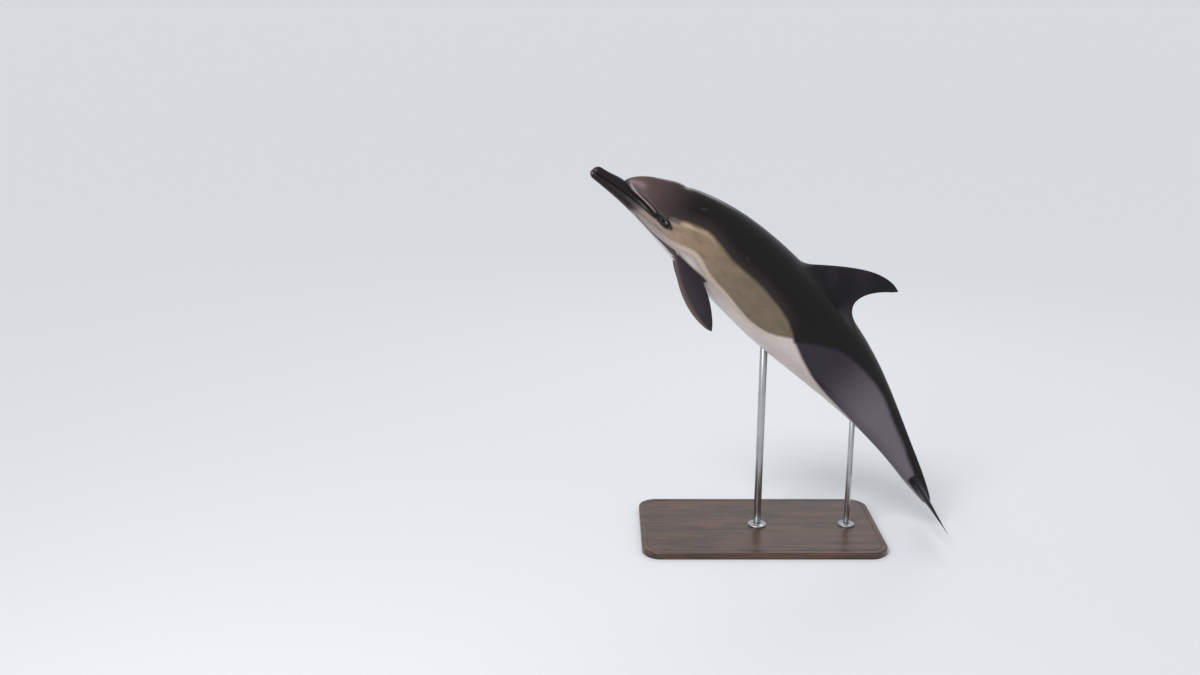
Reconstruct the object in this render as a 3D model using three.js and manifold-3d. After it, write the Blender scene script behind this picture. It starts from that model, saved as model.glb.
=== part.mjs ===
// A life-size common dolphin, leaping, on a plain display stand.
// Millimetres, +Z up. The snout points towards -X, the left flank towards -Y, and the origin is the middle of
// the stand's underside. The body is one form, parted by thin cuts into the pieces that a person would name.
import * as THREE from "three";
import { LoftGeometry } from "three/addons/geometries/LoftGeometry.js";
import { mergeVertices } from "three/addons/utils/BufferGeometryUtils.js";
import Module from "manifold-3d";

const wasm = await Module();
wasm.setup();

// ---- Driving dimensions -------------------------------------------------------------------------

const bodyLength = 2100; // tip of the snout to the notch of the flukes, along the spine
const cutGap = 0.4; // clearance left between two neighbouring pieces
const snoutTip = new THREE.Vector3(-735, 0, 1588); // where the spine starts
const roundSides = 32; // facets around the body

// Stations along the spine, as shares of bodyLength from the tip of the snout.
const stations = {
  start: 0.0006,
  melonApex: 0.058, // the crease where the forehead meets the beak, on the midline
  gape: 0.142, // corner of the mouth
  eye: 0.1717,
  neck: 0.228,
  flipper: 0.2245,
  waist: 0.425,
  dorsalFin: 0.435,
  vent: 0.69,
  end: 0.9985,
};

// Slope of the spine below the horizontal, in degrees, going aft: the animal rises snout first.
const spineSlope = smoothCurve([
  [0, 37.5],
  [0.15, 36.5],
  [0.3, 38],
  [0.45, 41.5],
  [0.6, 46],
  [0.75, 51],
  [0.9, 56.5],
  [1, 60],
]);

// Half-girths of the trunk about the spine: the back above it, the belly below it and the flank beside it.
const backHeight = smoothCurve([
  [0.055, 118],
  [0.08, 118],
  [0.1, 129],
  [0.125, 152],
  [0.15, 172],
  [0.18, 192],
  [0.24, 222],
  [0.34, 240],
  [0.45, 232],
  [0.58, 210],
  [0.7, 158],
  [0.8, 102],
  [0.88, 64],
  [0.93, 45],
  [1, 14],
]);
const bellyDepth = smoothCurve([
  [0, 20],
  [0.05, 24],
  [0.1, 34],
  [0.17, 62],
  [0.25, 97],
  [0.34, 123],
  [0.45, 142],
  [0.56, 131],
  [0.7, 94],
  [0.8, 67],
  [0.88, 50],
  [0.93, 40],
  [1, 12],
]);
const flankWidth = smoothCurve([
  [0.06, 34],
  [0.12, 66],
  [0.175, 100],
  [0.24, 134],
  [0.34, 164],
  [0.43, 168],
  [0.53, 148],
  [0.64, 104],
  [0.75, 60],
  [0.85, 32],
  [0.93, 20],
  [1, 12],
]);

// The beak: its upper jaw above the spine, and its half-width at the lips.
const jawHeight = smoothCurve([
  [0, 35],
  [0.03, 41],
  [0.058, 51],
  [0.1, 42],
  [0.15, 30],
  [0.2, 2],
]);
const jawWidth = smoothCurve([
  [0, 19],
  [0.03, 26],
  [0.062, 36],
  [0.1, 53],
  [0.146, 80],
  [0.2, 84],
]);
const rounding = { snout: 0.013, melon: 0.05, melonSide: 0.028, tail: 0.02 }; // lengths of the rounded ends
const beakEnd = 0.2; // station where the beak has merged into the head
const keel = { start: 0.7, full: 0.86, sharpness: 0.5 }; // stations over which the tail stock gets its keels

// Where the forehead starts, by degrees of turn from the midline: its crease sweeps back towards the eyes.
const melonStart = smoothCurve([
  [0, stations.melonApex],
  [26, 0.066],
  [50, 0.0906],
  [68, 0.128],
  [80, 0.136],
  [90, 0.138],
]);

// Cuts through the head, seen from the side, as [station, height above the spine].
const mouthLine = [[-0.02, 6], [0, 6], [0.04, 13], [0.08, 17], [0.11, 16], [stations.gape, 12]];
const creaseLine = [
  [stations.gape, 12], [0.139, 21], [0.1025, 31], [0.0752, 43], [stations.melonApex, 53], [0.05, 100],
];
const throatLine = [[stations.gape, 12], [0.176, -30], [0.2, -110]];

// Outlines of the fins: Bezier curves of [aft, outwards] points from the root to the tip.
const fins = {
  dorsal: {
    leading: [[0, 0], [145, 108], [262, 217], [387, 178]],
    trailing: [[286, 0], [262, 50], [304, 120], [387, 178]],
    thickness: { root: 36, tip: 5 },
    sunk: [12, 70],
  },
  flipper: {
    leading: [[0, 0], [-40, 85], [-75, 230], [0, 350]],
    trailing: [[56, 0], [36, 80], [95, 170], [0, 350]],
    thickness: { root: 30, tip: 4 },
    sunk: [0, 60],
  },
  fluke: {
    leading: [[-178, 0], [-130, 95], [-40, 200], [38, 246]],
    trailing: [[-6, 0], [34, 60], [-16, 170], [38, 246]],
    thickness: { root: 30, tip: 4 },
    sunk: [0, 0],
  },
};
const dorsalSlope = 41.6; // degrees: of the dorsal fin's base below the horizontal
const flipperPose = { turn: 128, swing: 62.6, splay: 20 }; // degrees: place round the body, and its reach
const bladeTipShare = 0.985; // share of a fin's outline at which its tip is closed

const eye = { radius: 15, height: 25, showing: 3, facets: 14 };

const stand = {
  length: 1040,
  width: 560,
  thickness: 30,
  corner: 80,
  bevel: 4,
  rodSides: 24,
  socketDepth: 20, // of a rod in the base
  fit: 0.4, // clearance round a rod
  flange: { width: 24, height: 10 },
  rods: [
    { name: "front", radius: 16, station: 0.5, reach: 70 },
    { name: "rear", radius: 12, station: 0.75, reach: 50 },
  ],
};

// ---- Curves and sections ------------------------------------------------------------------------

/** A natural cubic spline through [place, value] knots, held at its end values beyond them. */
function smoothCurve(knots) {
  const n = knots.length;
  const bend = new Array(n).fill(0);
  const carry = new Array(n).fill(0);
  for (let i = 1; i < n - 1; i++) {
    const before = knots[i][0] - knots[i - 1][0];
    const after = knots[i + 1][0] - knots[i][0];
    const turn = (knots[i + 1][1] - knots[i][1]) / after - (knots[i][1] - knots[i - 1][1]) / before;
    const share = before / (before + after);
    const pivot = share * bend[i - 1] + 2;
    bend[i] = (share - 1) / pivot;
    carry[i] = ((6 * turn) / (before + after) - share * carry[i - 1]) / pivot;
  }
  for (let i = n - 2; i >= 0; i--) bend[i] = bend[i] * bend[i + 1] + carry[i];
  return (place) => {
    const at = THREE.MathUtils.clamp(place, knots[0][0], knots[n - 1][0]);
    let i = 0;
    while (i < n - 2 && knots[i + 1][0] < at) i++;
    const span = knots[i + 1][0] - knots[i][0];
    const b = (at - knots[i][0]) / span;
    const a = 1 - b;
    const lift = (((a ** 3 - a) * bend[i] + (b ** 3 - b) * bend[i + 1]) * span * span) / 6;
    return a * knots[i][1] + b * knots[i + 1][1] + lift;
  };
}

/** Rounds a nose off as an ellipse: 0 at its tip and 1 past its length. */
function noseRound(distance, length) {
  const left = 1 - THREE.MathUtils.clamp(distance / length, 0, 1);
  return Math.sqrt(1 - left * left);
}

/** The larger of two sizes, with the corner between them eased over a width. */
function easedMax(a, b, width) {
  const overlap = Math.max(width - Math.abs(a - b), 0);
  return Math.max(a, b) + (overlap > 0 ? overlap ** 2 / width / 4 : 0);
}

/** Distance from the centre to an oval's edge, at a turn from its top: an ellipse at power 2, a lozenge below. */
function ovalReach(height, width, turn, power = 2) {
  if (height < 0.01 || width < 0.01) return 0;
  const upright = Math.abs(Math.cos(turn) / height) ** power;
  const sideways = Math.abs(Math.sin(turn) / width) ** power;
  return (upright + sideways) ** (-1 / power);
}

/** The directions along, above and beside the spine at a station. */
function directionsAt(station) {
  const slope = THREE.MathUtils.degToRad(spineSlope(station));
  return {
    aft: new THREE.Vector3(Math.cos(slope), 0, -Math.sin(slope)),
    up: new THREE.Vector3(Math.sin(slope), 0, Math.cos(slope)),
    left: new THREE.Vector3(0, -1, 0),
  };
}

/** Places along the spine, found once by adding up its slope. */
const spinePlaces = (() => {
  const steps = 1400;
  const places = [snoutTip.clone()];
  for (let i = 0; i < steps; i++) {
    const { aft } = directionsAt((i + 0.5) / steps);
    places.push(places[i].clone().addScaledVector(aft, bodyLength / steps));
  }
  return places;
})();

/** The place of a station on the spine, run on straight past both ends. */
function placeAt(station) {
  const last = spinePlaces.length - 1;
  const held = THREE.MathUtils.clamp(station, 0, 1);
  const i = Math.min(Math.floor(held * last), last - 1);
  const place = spinePlaces[i].clone().lerp(spinePlaces[i + 1], held * last - i);
  return place.addScaledVector(directionsAt(held).aft, (station - held) * bodyLength);
}

/** How far the forehead has risen, from 0 to 1, at a station and a turn. */
function melonRise(station, turn) {
  const lean = THREE.MathUtils.radToDeg(Math.acos(Math.abs(Math.cos(turn))));
  const shortening = THREE.MathUtils.smoothstep(lean, 0, 90);
  const run = THREE.MathUtils.lerp(rounding.melon, rounding.melonSide, shortening);
  return noseRound(station - melonStart(lean), run);
}

/** Half-width of the body beside the spine: the jaws ahead, the flanks behind. */
function sideWidth(station) {
  if (station >= beakEnd) return flankWidth(station) * noseRound(1 - station, rounding.tail);
  const jaws = jawWidth(station) * noseRound(station, rounding.snout);
  return easedMax(jaws, flankWidth(station) * noseRound(station - stations.melonApex, rounding.melon), 6);
}

/** Distance from the spine to the skin, at a station and a turn from the back's midline towards the left. */
function skinReach(station, turn) {
  const snout = noseRound(station, rounding.snout);
  const tail = noseRound(1 - station, rounding.tail);
  const width = sideWidth(station);
  const power = 2 - keel.sharpness * THREE.MathUtils.smoothstep(station, keel.start, keel.full);
  const rise = Math.cos(turn);
  if (rise < 0) return ovalReach(bellyDepth(station) * snout * tail, width, turn, power);
  const beak = station < beakEnd ? ovalReach(jawHeight(station) * snout, width, turn) : 0;
  const head = ovalReach(backHeight(station) * tail, width, turn, power) * melonRise(station, turn);
  return easedMax(beak, head, 4 * Math.min(rise / 0.35, 1));
}

/** A point at a distance from the spine, at a station and a turn. */
function pointAt(station, turn, reach) {
  const { up, left } = directionsAt(station);
  return placeAt(station)
    .addScaledVector(up, reach * Math.cos(turn))
    .addScaledVector(left, reach * Math.sin(turn));
}

/** A point of the skin. */
function skinPoint(station, turn) {
  return pointAt(station, turn, skinReach(station, turn));
}

/** A point in the plane of symmetry, as seen from the side, from a station and a height above the spine. */
function sidePoint([station, height]) {
  const point = pointAt(station, 0, height);
  return new THREE.Vector2(point.x, point.z);
}

// ---- Solids -------------------------------------------------------------------------------------

/** A closed geometry as a solid that can be joined and cut. */
function solidOf(geometry) {
  const bare = new THREE.BufferGeometry().copy(geometry);
  bare.deleteAttribute("normal");
  bare.deleteAttribute("uv");
  const merged = mergeVertices(bare, 1e-3);
  const vertProperties = new Float32Array(merged.attributes.position.array);
  const triVerts = new Uint32Array(merged.index.array);
  return new wasm.Manifold(new wasm.Mesh({ numProp: 3, vertProperties, triVerts }));
}

/** A solid as a geometry. */
function geometryOf(solid) {
  const mesh = solid.getMesh();
  const geometry = new THREE.BufferGeometry();
  geometry.setAttribute("position", new THREE.BufferAttribute(new Float32Array(mesh.vertProperties), 3));
  geometry.setIndex(new THREE.BufferAttribute(new Uint32Array(mesh.triVerts), 1));
  geometry.computeVertexNormals();
  return geometry;
}

/** Stations from one cut to the next, closest where the head changes shape fastest. */
function stationsBetween(start, end) {
  const list = [start];
  for (let at = start; at < end; ) {
    if (at < rounding.snout) at += 0.0015 + at * 0.4;
    else if (at < stations.melonApex) at += 0.0135;
    else if (at < stations.melonApex + rounding.melon) at += 0.004 + (at - stations.melonApex) * 0.12;
    else if (at < stations.neck) at += 0.012;
    else if (at < 1 - rounding.tail) at += 0.0225;
    else at += 0.006;
    list.push(at);
  }
  const overshoot = (list[list.length - 1] - end) / (list[list.length - 1] - start);
  return list.map((at) => at - (at - start) * overshoot);
}

/** The stations of each length of the body, from the head to the tail. */
const lengths = (() => {
  const cuts = [stations.start, stations.neck, stations.waist, stations.vent, stations.end];
  const half = cutGap / 2 / bodyLength;
  return cuts.slice(1).map((end, i) => stationsBetween(cuts[i] + half, end - half));
})();

/** The body's form through a list of stations as a closed loft, grown outwards by a clearance. */
function bodyForm(list, grown = 0) {
  const sections = list.map((station) => {
    const ring = [];
    for (let i = 0; i < roundSides; i++) {
      const turn = (i / roundSides) * 2 * Math.PI;
      ring.push(pointAt(station, turn, skinReach(station, turn) + grown));
    }
    return ring;
  });
  return solidOf(new LoftGeometry(sections, { capStart: true, capEnd: true }));
}

const wholeBody = bodyForm(lengths.flat(), cutGap);

/** A prism through the body across its plane of symmetry, from an outline seen from the side. */
function crossPrism(outline) {
  const breadth = 600;
  const prism = new THREE.ExtrudeGeometry(new THREE.Shape(outline), { depth: breadth, bevelEnabled: false });
  return solidOf(prism.rotateX(Math.PI / 2).translate(0, breadth / 2, 0));
}

/** A thin wall along a line seen from the side, run on a little past its ends, which parts two pieces. */
function crossWall(line) {
  const points = line.map(sidePoint);
  const runOn = (end, next) => end.add(end.clone().sub(next).setLength(cutGap));
  runOn(points[0], points[1]);
  runOn(points[points.length - 1], points[points.length - 2]);
  const offset = (side) =>
    points.map((point, i) => {
      const before = points[Math.max(i - 1, 0)];
      const after = points[Math.min(i + 1, points.length - 1)];
      const run = after.clone().sub(before).normalize();
      return point.clone().add(new THREE.Vector2(-run.y, run.x).multiplyScalar((side * cutGap) / 2));
    });
  return crossPrism([...offset(1), ...offset(-1).reverse()]);
}

/** A fin as a closed loft of rounded blades, without the part of its root that the body fills. */
function finForm(shape, { origin, aft, out }) {
  const curve = (points) => new THREE.CubicBezierCurve(...points.map(([x, y]) => new THREE.Vector2(x, y)));
  const lead = curve(shape.leading);
  const trail = curve(shape.trailing);
  const across = new THREE.Vector3().crossVectors(aft, out).normalize();
  const rows = 12;
  const points = 12;
  const section = (share, sunk) => {
    const front = lead.getPoint(share);
    const rear = trail.getPoint(share);
    const size = THREE.MathUtils.lerp(shape.thickness.root, shape.thickness.tip, Math.min(share * 1.15, 1));
    const ring = [];
    for (let i = 0; i < points; i++) {
      const turn = (i / points) * 2 * Math.PI;
      const chord = (1 - Math.cos(turn)) / 2;
      const blade = Math.max(2.6 * Math.sqrt(chord) * (1 - chord), 0.2 * Math.sin(turn / 2));
      const side = turn < Math.PI ? size / 2 : -size / 2;
      const flat = front.clone().lerp(rear, chord);
      ring.push(
        origin
          .clone()
          .addScaledVector(aft, flat.x + sunk[0])
          .addScaledVector(out, flat.y - sunk[1])
          .addScaledVector(across, blade * side),
      );
    }
    return ring;
  };
  const sections = [];
  if (shape.sunk[1] > 0) sections.push(section(0, shape.sunk));
  for (let i = 0; i <= rows; i++) sections.push(section((i / rows) ** 0.9 * bladeTipShare, [0, 0]));
  return solidOf(new LoftGeometry(sections, { capStart: true, capEnd: true })).subtract(wholeBody);
}

// ---- Model --------------------------------------------------------------------------------------

const dolphin = new THREE.Group();
dolphin.name = "common_dolphin";
const display = new THREE.Group();
display.name = "display_stand";
const group = new THREE.Group();
group.name = "leaping_common_dolphin";
group.add(dolphin, display);

/** Adds a named mesh with a finish of its own. */
function add(parent, name, geometry, { color, roughness, metalness }) {
  const mesh = new THREE.Mesh(geometry, new THREE.MeshStandardMaterial({ color, roughness, metalness }));
  mesh.name = name;
  parent.add(mesh);
  return mesh;
}

const finishes = {
  cape: { color: 0x2c2426, roughness: 0.3, metalness: 0 },
  flank: { color: 0xa39078, roughness: 0.35, metalness: 0 },
  belly: { color: 0xd9cdc8, roughness: 0.35, metalness: 0 },
  eye: { color: 0x0e0b0b, roughness: 0.08, metalness: 0 },
  paint: { color: 0x33363a, roughness: 0.5, metalness: 0 },
  steel: { color: 0xb4b7ba, roughness: 0.3, metalness: 1 },
};

const sides = [
  { name: "left", sign: 1 },
  { name: "right", sign: -1 },
];

/** Where the ball of an eye sits: just under the skin, with a little of it showing. */
function eyeCentre(sign) {
  let turn = Math.PI / 2;
  for (let i = 0; i < 8; i++) turn = Math.acos(eye.height / skinReach(stations.eye, turn));
  const step = 0.01;
  const surface = skinPoint(stations.eye, turn);
  const along = skinPoint(stations.eye + step, turn).sub(skinPoint(stations.eye - step, turn));
  const round = skinPoint(stations.eye, turn + step).sub(skinPoint(stations.eye, turn - step));
  const inward = along.cross(round).normalize().multiplyScalar(eye.radius - eye.showing);
  return surface.add(inward).multiply(new THREE.Vector3(1, sign, 1));
}

/** Where a rod of the stand meets the belly. */
function rodPlace({ station }) {
  return skinPoint(station, Math.PI);
}

/** An upright rod as a closed cylinder between two levels. */
function uprightRod(x, radius, bottom, top) {
  const rod = new THREE.CylinderGeometry(radius, radius, top - bottom, stand.rodSides);
  return rod.rotateX(Math.PI / 2).translate(x, 0, (bottom + top) / 2);
}

/** Cuts into a piece of the body the sockets of the rods. */
function withSockets(solid) {
  return stand.rods.reduce((cut, rod) => {
    const place = rodPlace(rod);
    const bore = uprightRod(place.x, rod.radius + stand.fit, 0, place.z + rod.reach + stand.fit);
    return cut.subtract(solidOf(bore));
  }, solid);
}

/** The head: the upper beak, the lower jaw and the skull with the melon, parted along the mouth. */
function buildHead() {
  const upper = crossPrism([...mouthLine, ...creaseLine.slice(1), [-0.02, 100]].map(sidePoint));
  const lower = crossPrism([...mouthLine, ...throatLine.slice(1), [-0.02, -110]].map(sidePoint));
  let form = bodyForm(lengths[0]);
  for (const line of [mouthLine, creaseLine, throatLine]) form = form.subtract(crossWall(line));
  let skull = form.subtract(upper).subtract(lower);
  const sphere = (radius) => new THREE.SphereGeometry(radius, eye.facets, eye.facets / 2 + 1);
  for (const { name, sign } of sides) {
    const centre = eyeCentre(sign);
    add(dolphin, `eye_${name}`, sphere(eye.radius), finishes.eye).position.copy(centre);
    skull = skull.subtract(solidOf(sphere(eye.radius + cutGap).translate(...centre)));
  }
  add(dolphin, "upper_beak", geometryOf(form.intersect(upper)), finishes.cape);
  add(dolphin, "lower_jaw", geometryOf(form.intersect(lower)), finishes.belly);
  add(dolphin, "head", geometryOf(skull), finishes.cape);
}

/** The trunk: the chest, the abdomen and the tail stock, with the sockets of the stand's rods. */
function buildTrunk() {
  const finish = { chest: finishes.flank, abdomen: finishes.flank, tail_stock: finishes.cape };
  Object.keys(finish).forEach((name, i) => {
    add(dolphin, name, geometryOf(withSockets(bodyForm(lengths[i + 1]))), finish[name]);
  });
}

/** The fins: one on the back, a pair of flippers and a pair of flukes. */
function buildFins() {
  const [turn, swing, splay] = Object.values(flipperPose).map(THREE.MathUtils.degToRad);
  const slope = THREE.MathUtils.degToRad(dorsalSlope);
  const root = {
    origin: skinPoint(stations.dorsalFin, 0),
    aft: new THREE.Vector3(Math.cos(slope), 0, -Math.sin(slope)),
    out: new THREE.Vector3(Math.sin(slope), 0, Math.cos(slope)),
  };
  add(dolphin, "dorsal_fin", geometryOf(finForm(fins.dorsal, root)), finishes.cape);
  const tail = directionsAt(0.96).aft;
  for (const { name, sign } of sides) {
    const mirror = new THREE.Vector3(1, sign, 1);
    const limb = {
      origin: skinPoint(stations.flipper, turn).multiply(mirror),
      aft: new THREE.Vector3(Math.sin(swing), 0, Math.cos(swing)),
      out: new THREE.Vector3(
        Math.cos(swing) * Math.cos(splay),
        -sign * Math.sin(splay),
        -Math.sin(swing) * Math.cos(splay),
      ),
    };
    add(dolphin, `flipper_${name}`, geometryOf(finForm(fins.flipper, limb)), finishes.cape);
    const blade = { origin: placeAt(1), aft: tail, out: new THREE.Vector3(0, -sign, 0) };
    add(dolphin, `fluke_${name}`, geometryOf(finForm(fins.fluke, blade)), finishes.cape);
  }
}

/** The stand: a flat base with rounded corners, and two upright rods that stand in it. */
function buildStand() {
  const { length, width, thickness, corner, bevel } = stand;
  const [x, y] = [length / 2 - bevel, width / 2 - bevel];
  const outline = new THREE.Shape()
    .moveTo(-x + corner, -y)
    .lineTo(x - corner, -y)
    .absarc(x - corner, -y + corner, corner, -Math.PI / 2, 0)
    .absarc(x - corner, y - corner, corner, 0, Math.PI / 2)
    .absarc(-x + corner, y - corner, corner, Math.PI / 2, Math.PI)
    .absarc(-x + corner, -y + corner, corner, Math.PI, 1.5 * Math.PI);
  const plate = new THREE.ExtrudeGeometry(outline, {
    depth: thickness - 2 * bevel,
    bevelThickness: bevel,
    bevelSize: bevel,
    bevelSegments: 1,
    curveSegments: 6,
  }).translate(0, 0, bevel);
  let base = solidOf(plate);
  for (const rod of stand.rods) {
    const place = rodPlace(rod);
    const foot = thickness - stand.socketDepth;
    base = base.subtract(solidOf(uprightRod(place.x, rod.radius + stand.fit, foot - cutGap, thickness + 1)));
    const bar = uprightRod(place.x, rod.radius, foot, place.z + rod.reach);
    add(display, `stand_rod_${rod.name}`, bar, finishes.steel);
    const top = thickness + cutGap + stand.flange.height;
    const ring = solidOf(uprightRod(place.x, rod.radius + stand.flange.width, thickness + cutGap, top));
    const hole = solidOf(uprightRod(place.x, rod.radius + stand.fit, thickness, top + 1));
    add(display, `stand_flange_${rod.name}`, geometryOf(ring.subtract(hole)), finishes.steel);
  }
  add(display, "stand_base", geometryOf(base), finishes.paint);
}

buildHead();
buildTrunk();
buildFins();
buildStand();

export default group;
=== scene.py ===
"""A life-size common dolphin, leaping, on a plain display stand: its skin, eyes, stand and studio.

One closed skin replaces the frame's pieces of flesh. Body sizes are in millimetres, like the frame's own
driving dimensions, and turn into metres where a mesh is made. A place on the body is a station, the share
of its length from the tip of the snout, and a turn, the angle from the back's midline towards the left.
"""

import logging
import math
from dataclasses import dataclass, field
from enum import Enum
from typing import Sequence, Union

import bpy
import numpy as np
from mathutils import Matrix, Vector


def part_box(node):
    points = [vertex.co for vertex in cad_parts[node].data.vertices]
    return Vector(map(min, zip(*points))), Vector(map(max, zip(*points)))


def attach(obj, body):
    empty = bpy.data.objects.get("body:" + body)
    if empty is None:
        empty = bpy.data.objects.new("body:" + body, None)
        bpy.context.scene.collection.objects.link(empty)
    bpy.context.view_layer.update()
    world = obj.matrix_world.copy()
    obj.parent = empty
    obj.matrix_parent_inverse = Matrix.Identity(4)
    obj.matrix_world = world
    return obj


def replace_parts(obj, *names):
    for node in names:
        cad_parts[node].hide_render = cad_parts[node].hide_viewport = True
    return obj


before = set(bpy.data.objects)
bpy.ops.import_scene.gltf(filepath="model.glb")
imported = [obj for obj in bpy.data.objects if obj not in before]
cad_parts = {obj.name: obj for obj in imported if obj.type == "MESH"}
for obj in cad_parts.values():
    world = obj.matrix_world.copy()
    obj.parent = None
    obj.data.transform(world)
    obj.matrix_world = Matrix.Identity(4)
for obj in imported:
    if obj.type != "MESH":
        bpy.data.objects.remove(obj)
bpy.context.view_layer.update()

Array = np.ndarray
Number = Union[float, np.ndarray]
Knots = Sequence[tuple[float, float]]
Pair = tuple[float, float]
Triple = tuple[float, float, float]
Faces = list[tuple[int, ...]]

METRES = 0.001  # of one millimetre
ROOT_BODY = "root"
SEED = 7
log = logging.getLogger("dolphin")


class Slot(Enum):
    """Names of material slots, one passed with each piece."""

    SKIN = "skin_dark"
    EYE = "eye"
    WOOD = "stand_wood"
    STEEL = "stand_steel"


# ---- Curves and small helpers ----


def smooth_step(value: Number, low: float, high: float) -> Number:
    """The grade of values that rises smoothly from 0 at low to 1 at high."""
    share = np.clip((value - low) / (high - low), 0.0, 1.0)
    return share * share * (3 - 2 * share)


def swell(value: Number, width: float) -> Number:
    """A bell of height 1 that has nearly ended one and a half widths from 0."""
    return np.exp(-((value / width) ** 2))


def ridge(value: Number, shape: Triple) -> Number:
    """A bell of this height, place and breadth."""
    return shape[0] * swell(value - shape[1], shape[2])


def nose_round(distance: Number, run: Number) -> Number:
    """The size of an elliptic nose: 0 at its tip and ahead of it, 1 past the run."""
    left = 1 - np.clip(distance / run, 0.0, 1.0)
    return np.sqrt(1 - left * left)


def eased_max(one: Number, other: Number, width: Number) -> Number:
    """The larger of two sizes, eased to a little more where they differ by less than a width."""
    overlap = np.maximum(1 - np.abs(one - other) / np.maximum(width, 1e-6), 0.0)
    return np.maximum(one, other) + overlap * overlap * width / 4


def oval_reach(height: Number, width: Number, turn: Number, power: Number = 2.0) -> Number:
    """Distance from an oval's centre to its edge. Power 2 is an ellipse, a lower one a lozenge."""
    upright = np.abs(np.cos(turn) / np.maximum(height, 1e-3)) ** power
    return (upright + np.abs(np.sin(turn) / np.maximum(width, 1e-3)) ** power) ** (-1 / power)


def unit(vectors: Array) -> Array:
    """Vectors along the last axis, brought to length 1."""
    return vectors / np.maximum(np.linalg.norm(vectors, axis=-1, keepdims=True), 1e-9)


def heading(slope: Number) -> tuple[Array, Array]:
    """The directions down a slope towards the tail, in radians, and square to it upwards."""
    along, rise, level = np.cos(slope), np.sin(slope), np.zeros_like(slope)
    return np.stack([along, level, -rise], -1), np.stack([rise, level, along], -1)


@dataclass
class SmoothCurve:
    """A natural cubic spline through (place, value) knots, held at its end values beyond them."""

    knots: Knots

    def __post_init__(self) -> None:
        """Solves for the bend at each knot."""
        self.places, self.values = np.array(self.knots, float).T
        count = len(self.places)
        self.bends, carry = np.zeros(count), np.zeros(count)
        for i in range(1, count - 1):
            before, after = np.diff(self.places[i - 1 : i + 2])
            first, second = np.diff(self.values[i - 1 : i + 2])
            share = before / (before + after)
            pivot = share * self.bends[i - 1] + 2
            self.bends[i] = (share - 1) / pivot
            turn = second / after - first / before
            carry[i] = (6 * turn / (before + after) - share * carry[i - 1]) / pivot
        for i in range(count - 2, -1, -1):
            self.bends[i] = self.bends[i] * self.bends[i + 1] + carry[i]

    def __call__(self, place: Number) -> Number:
        """Reads the curve.

        Args:
            place: The place or places to read it at.

        Returns:
            The curve's value at each.
        """
        at = np.clip(place, self.places[0], self.places[-1])
        i = np.clip(np.searchsorted(self.places, at) - 1, 0, len(self.places) - 2)
        span = self.places[i + 1] - self.places[i]
        b = (at - self.places[i]) / span
        a = 1 - b
        lift = ((a**3 - a) * self.bends[i] + (b**3 - b) * self.bends[i + 1]) * span * span / 6
        return a * self.values[i] + b * self.values[i + 1] + lift


def curve(*knots: Pair) -> SmoothCurve:
    """A dataclass field that holds a smooth curve through these knots."""
    return field(default_factory=lambda: SmoothCurve(knots))


# ---- The body's form ----


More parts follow.
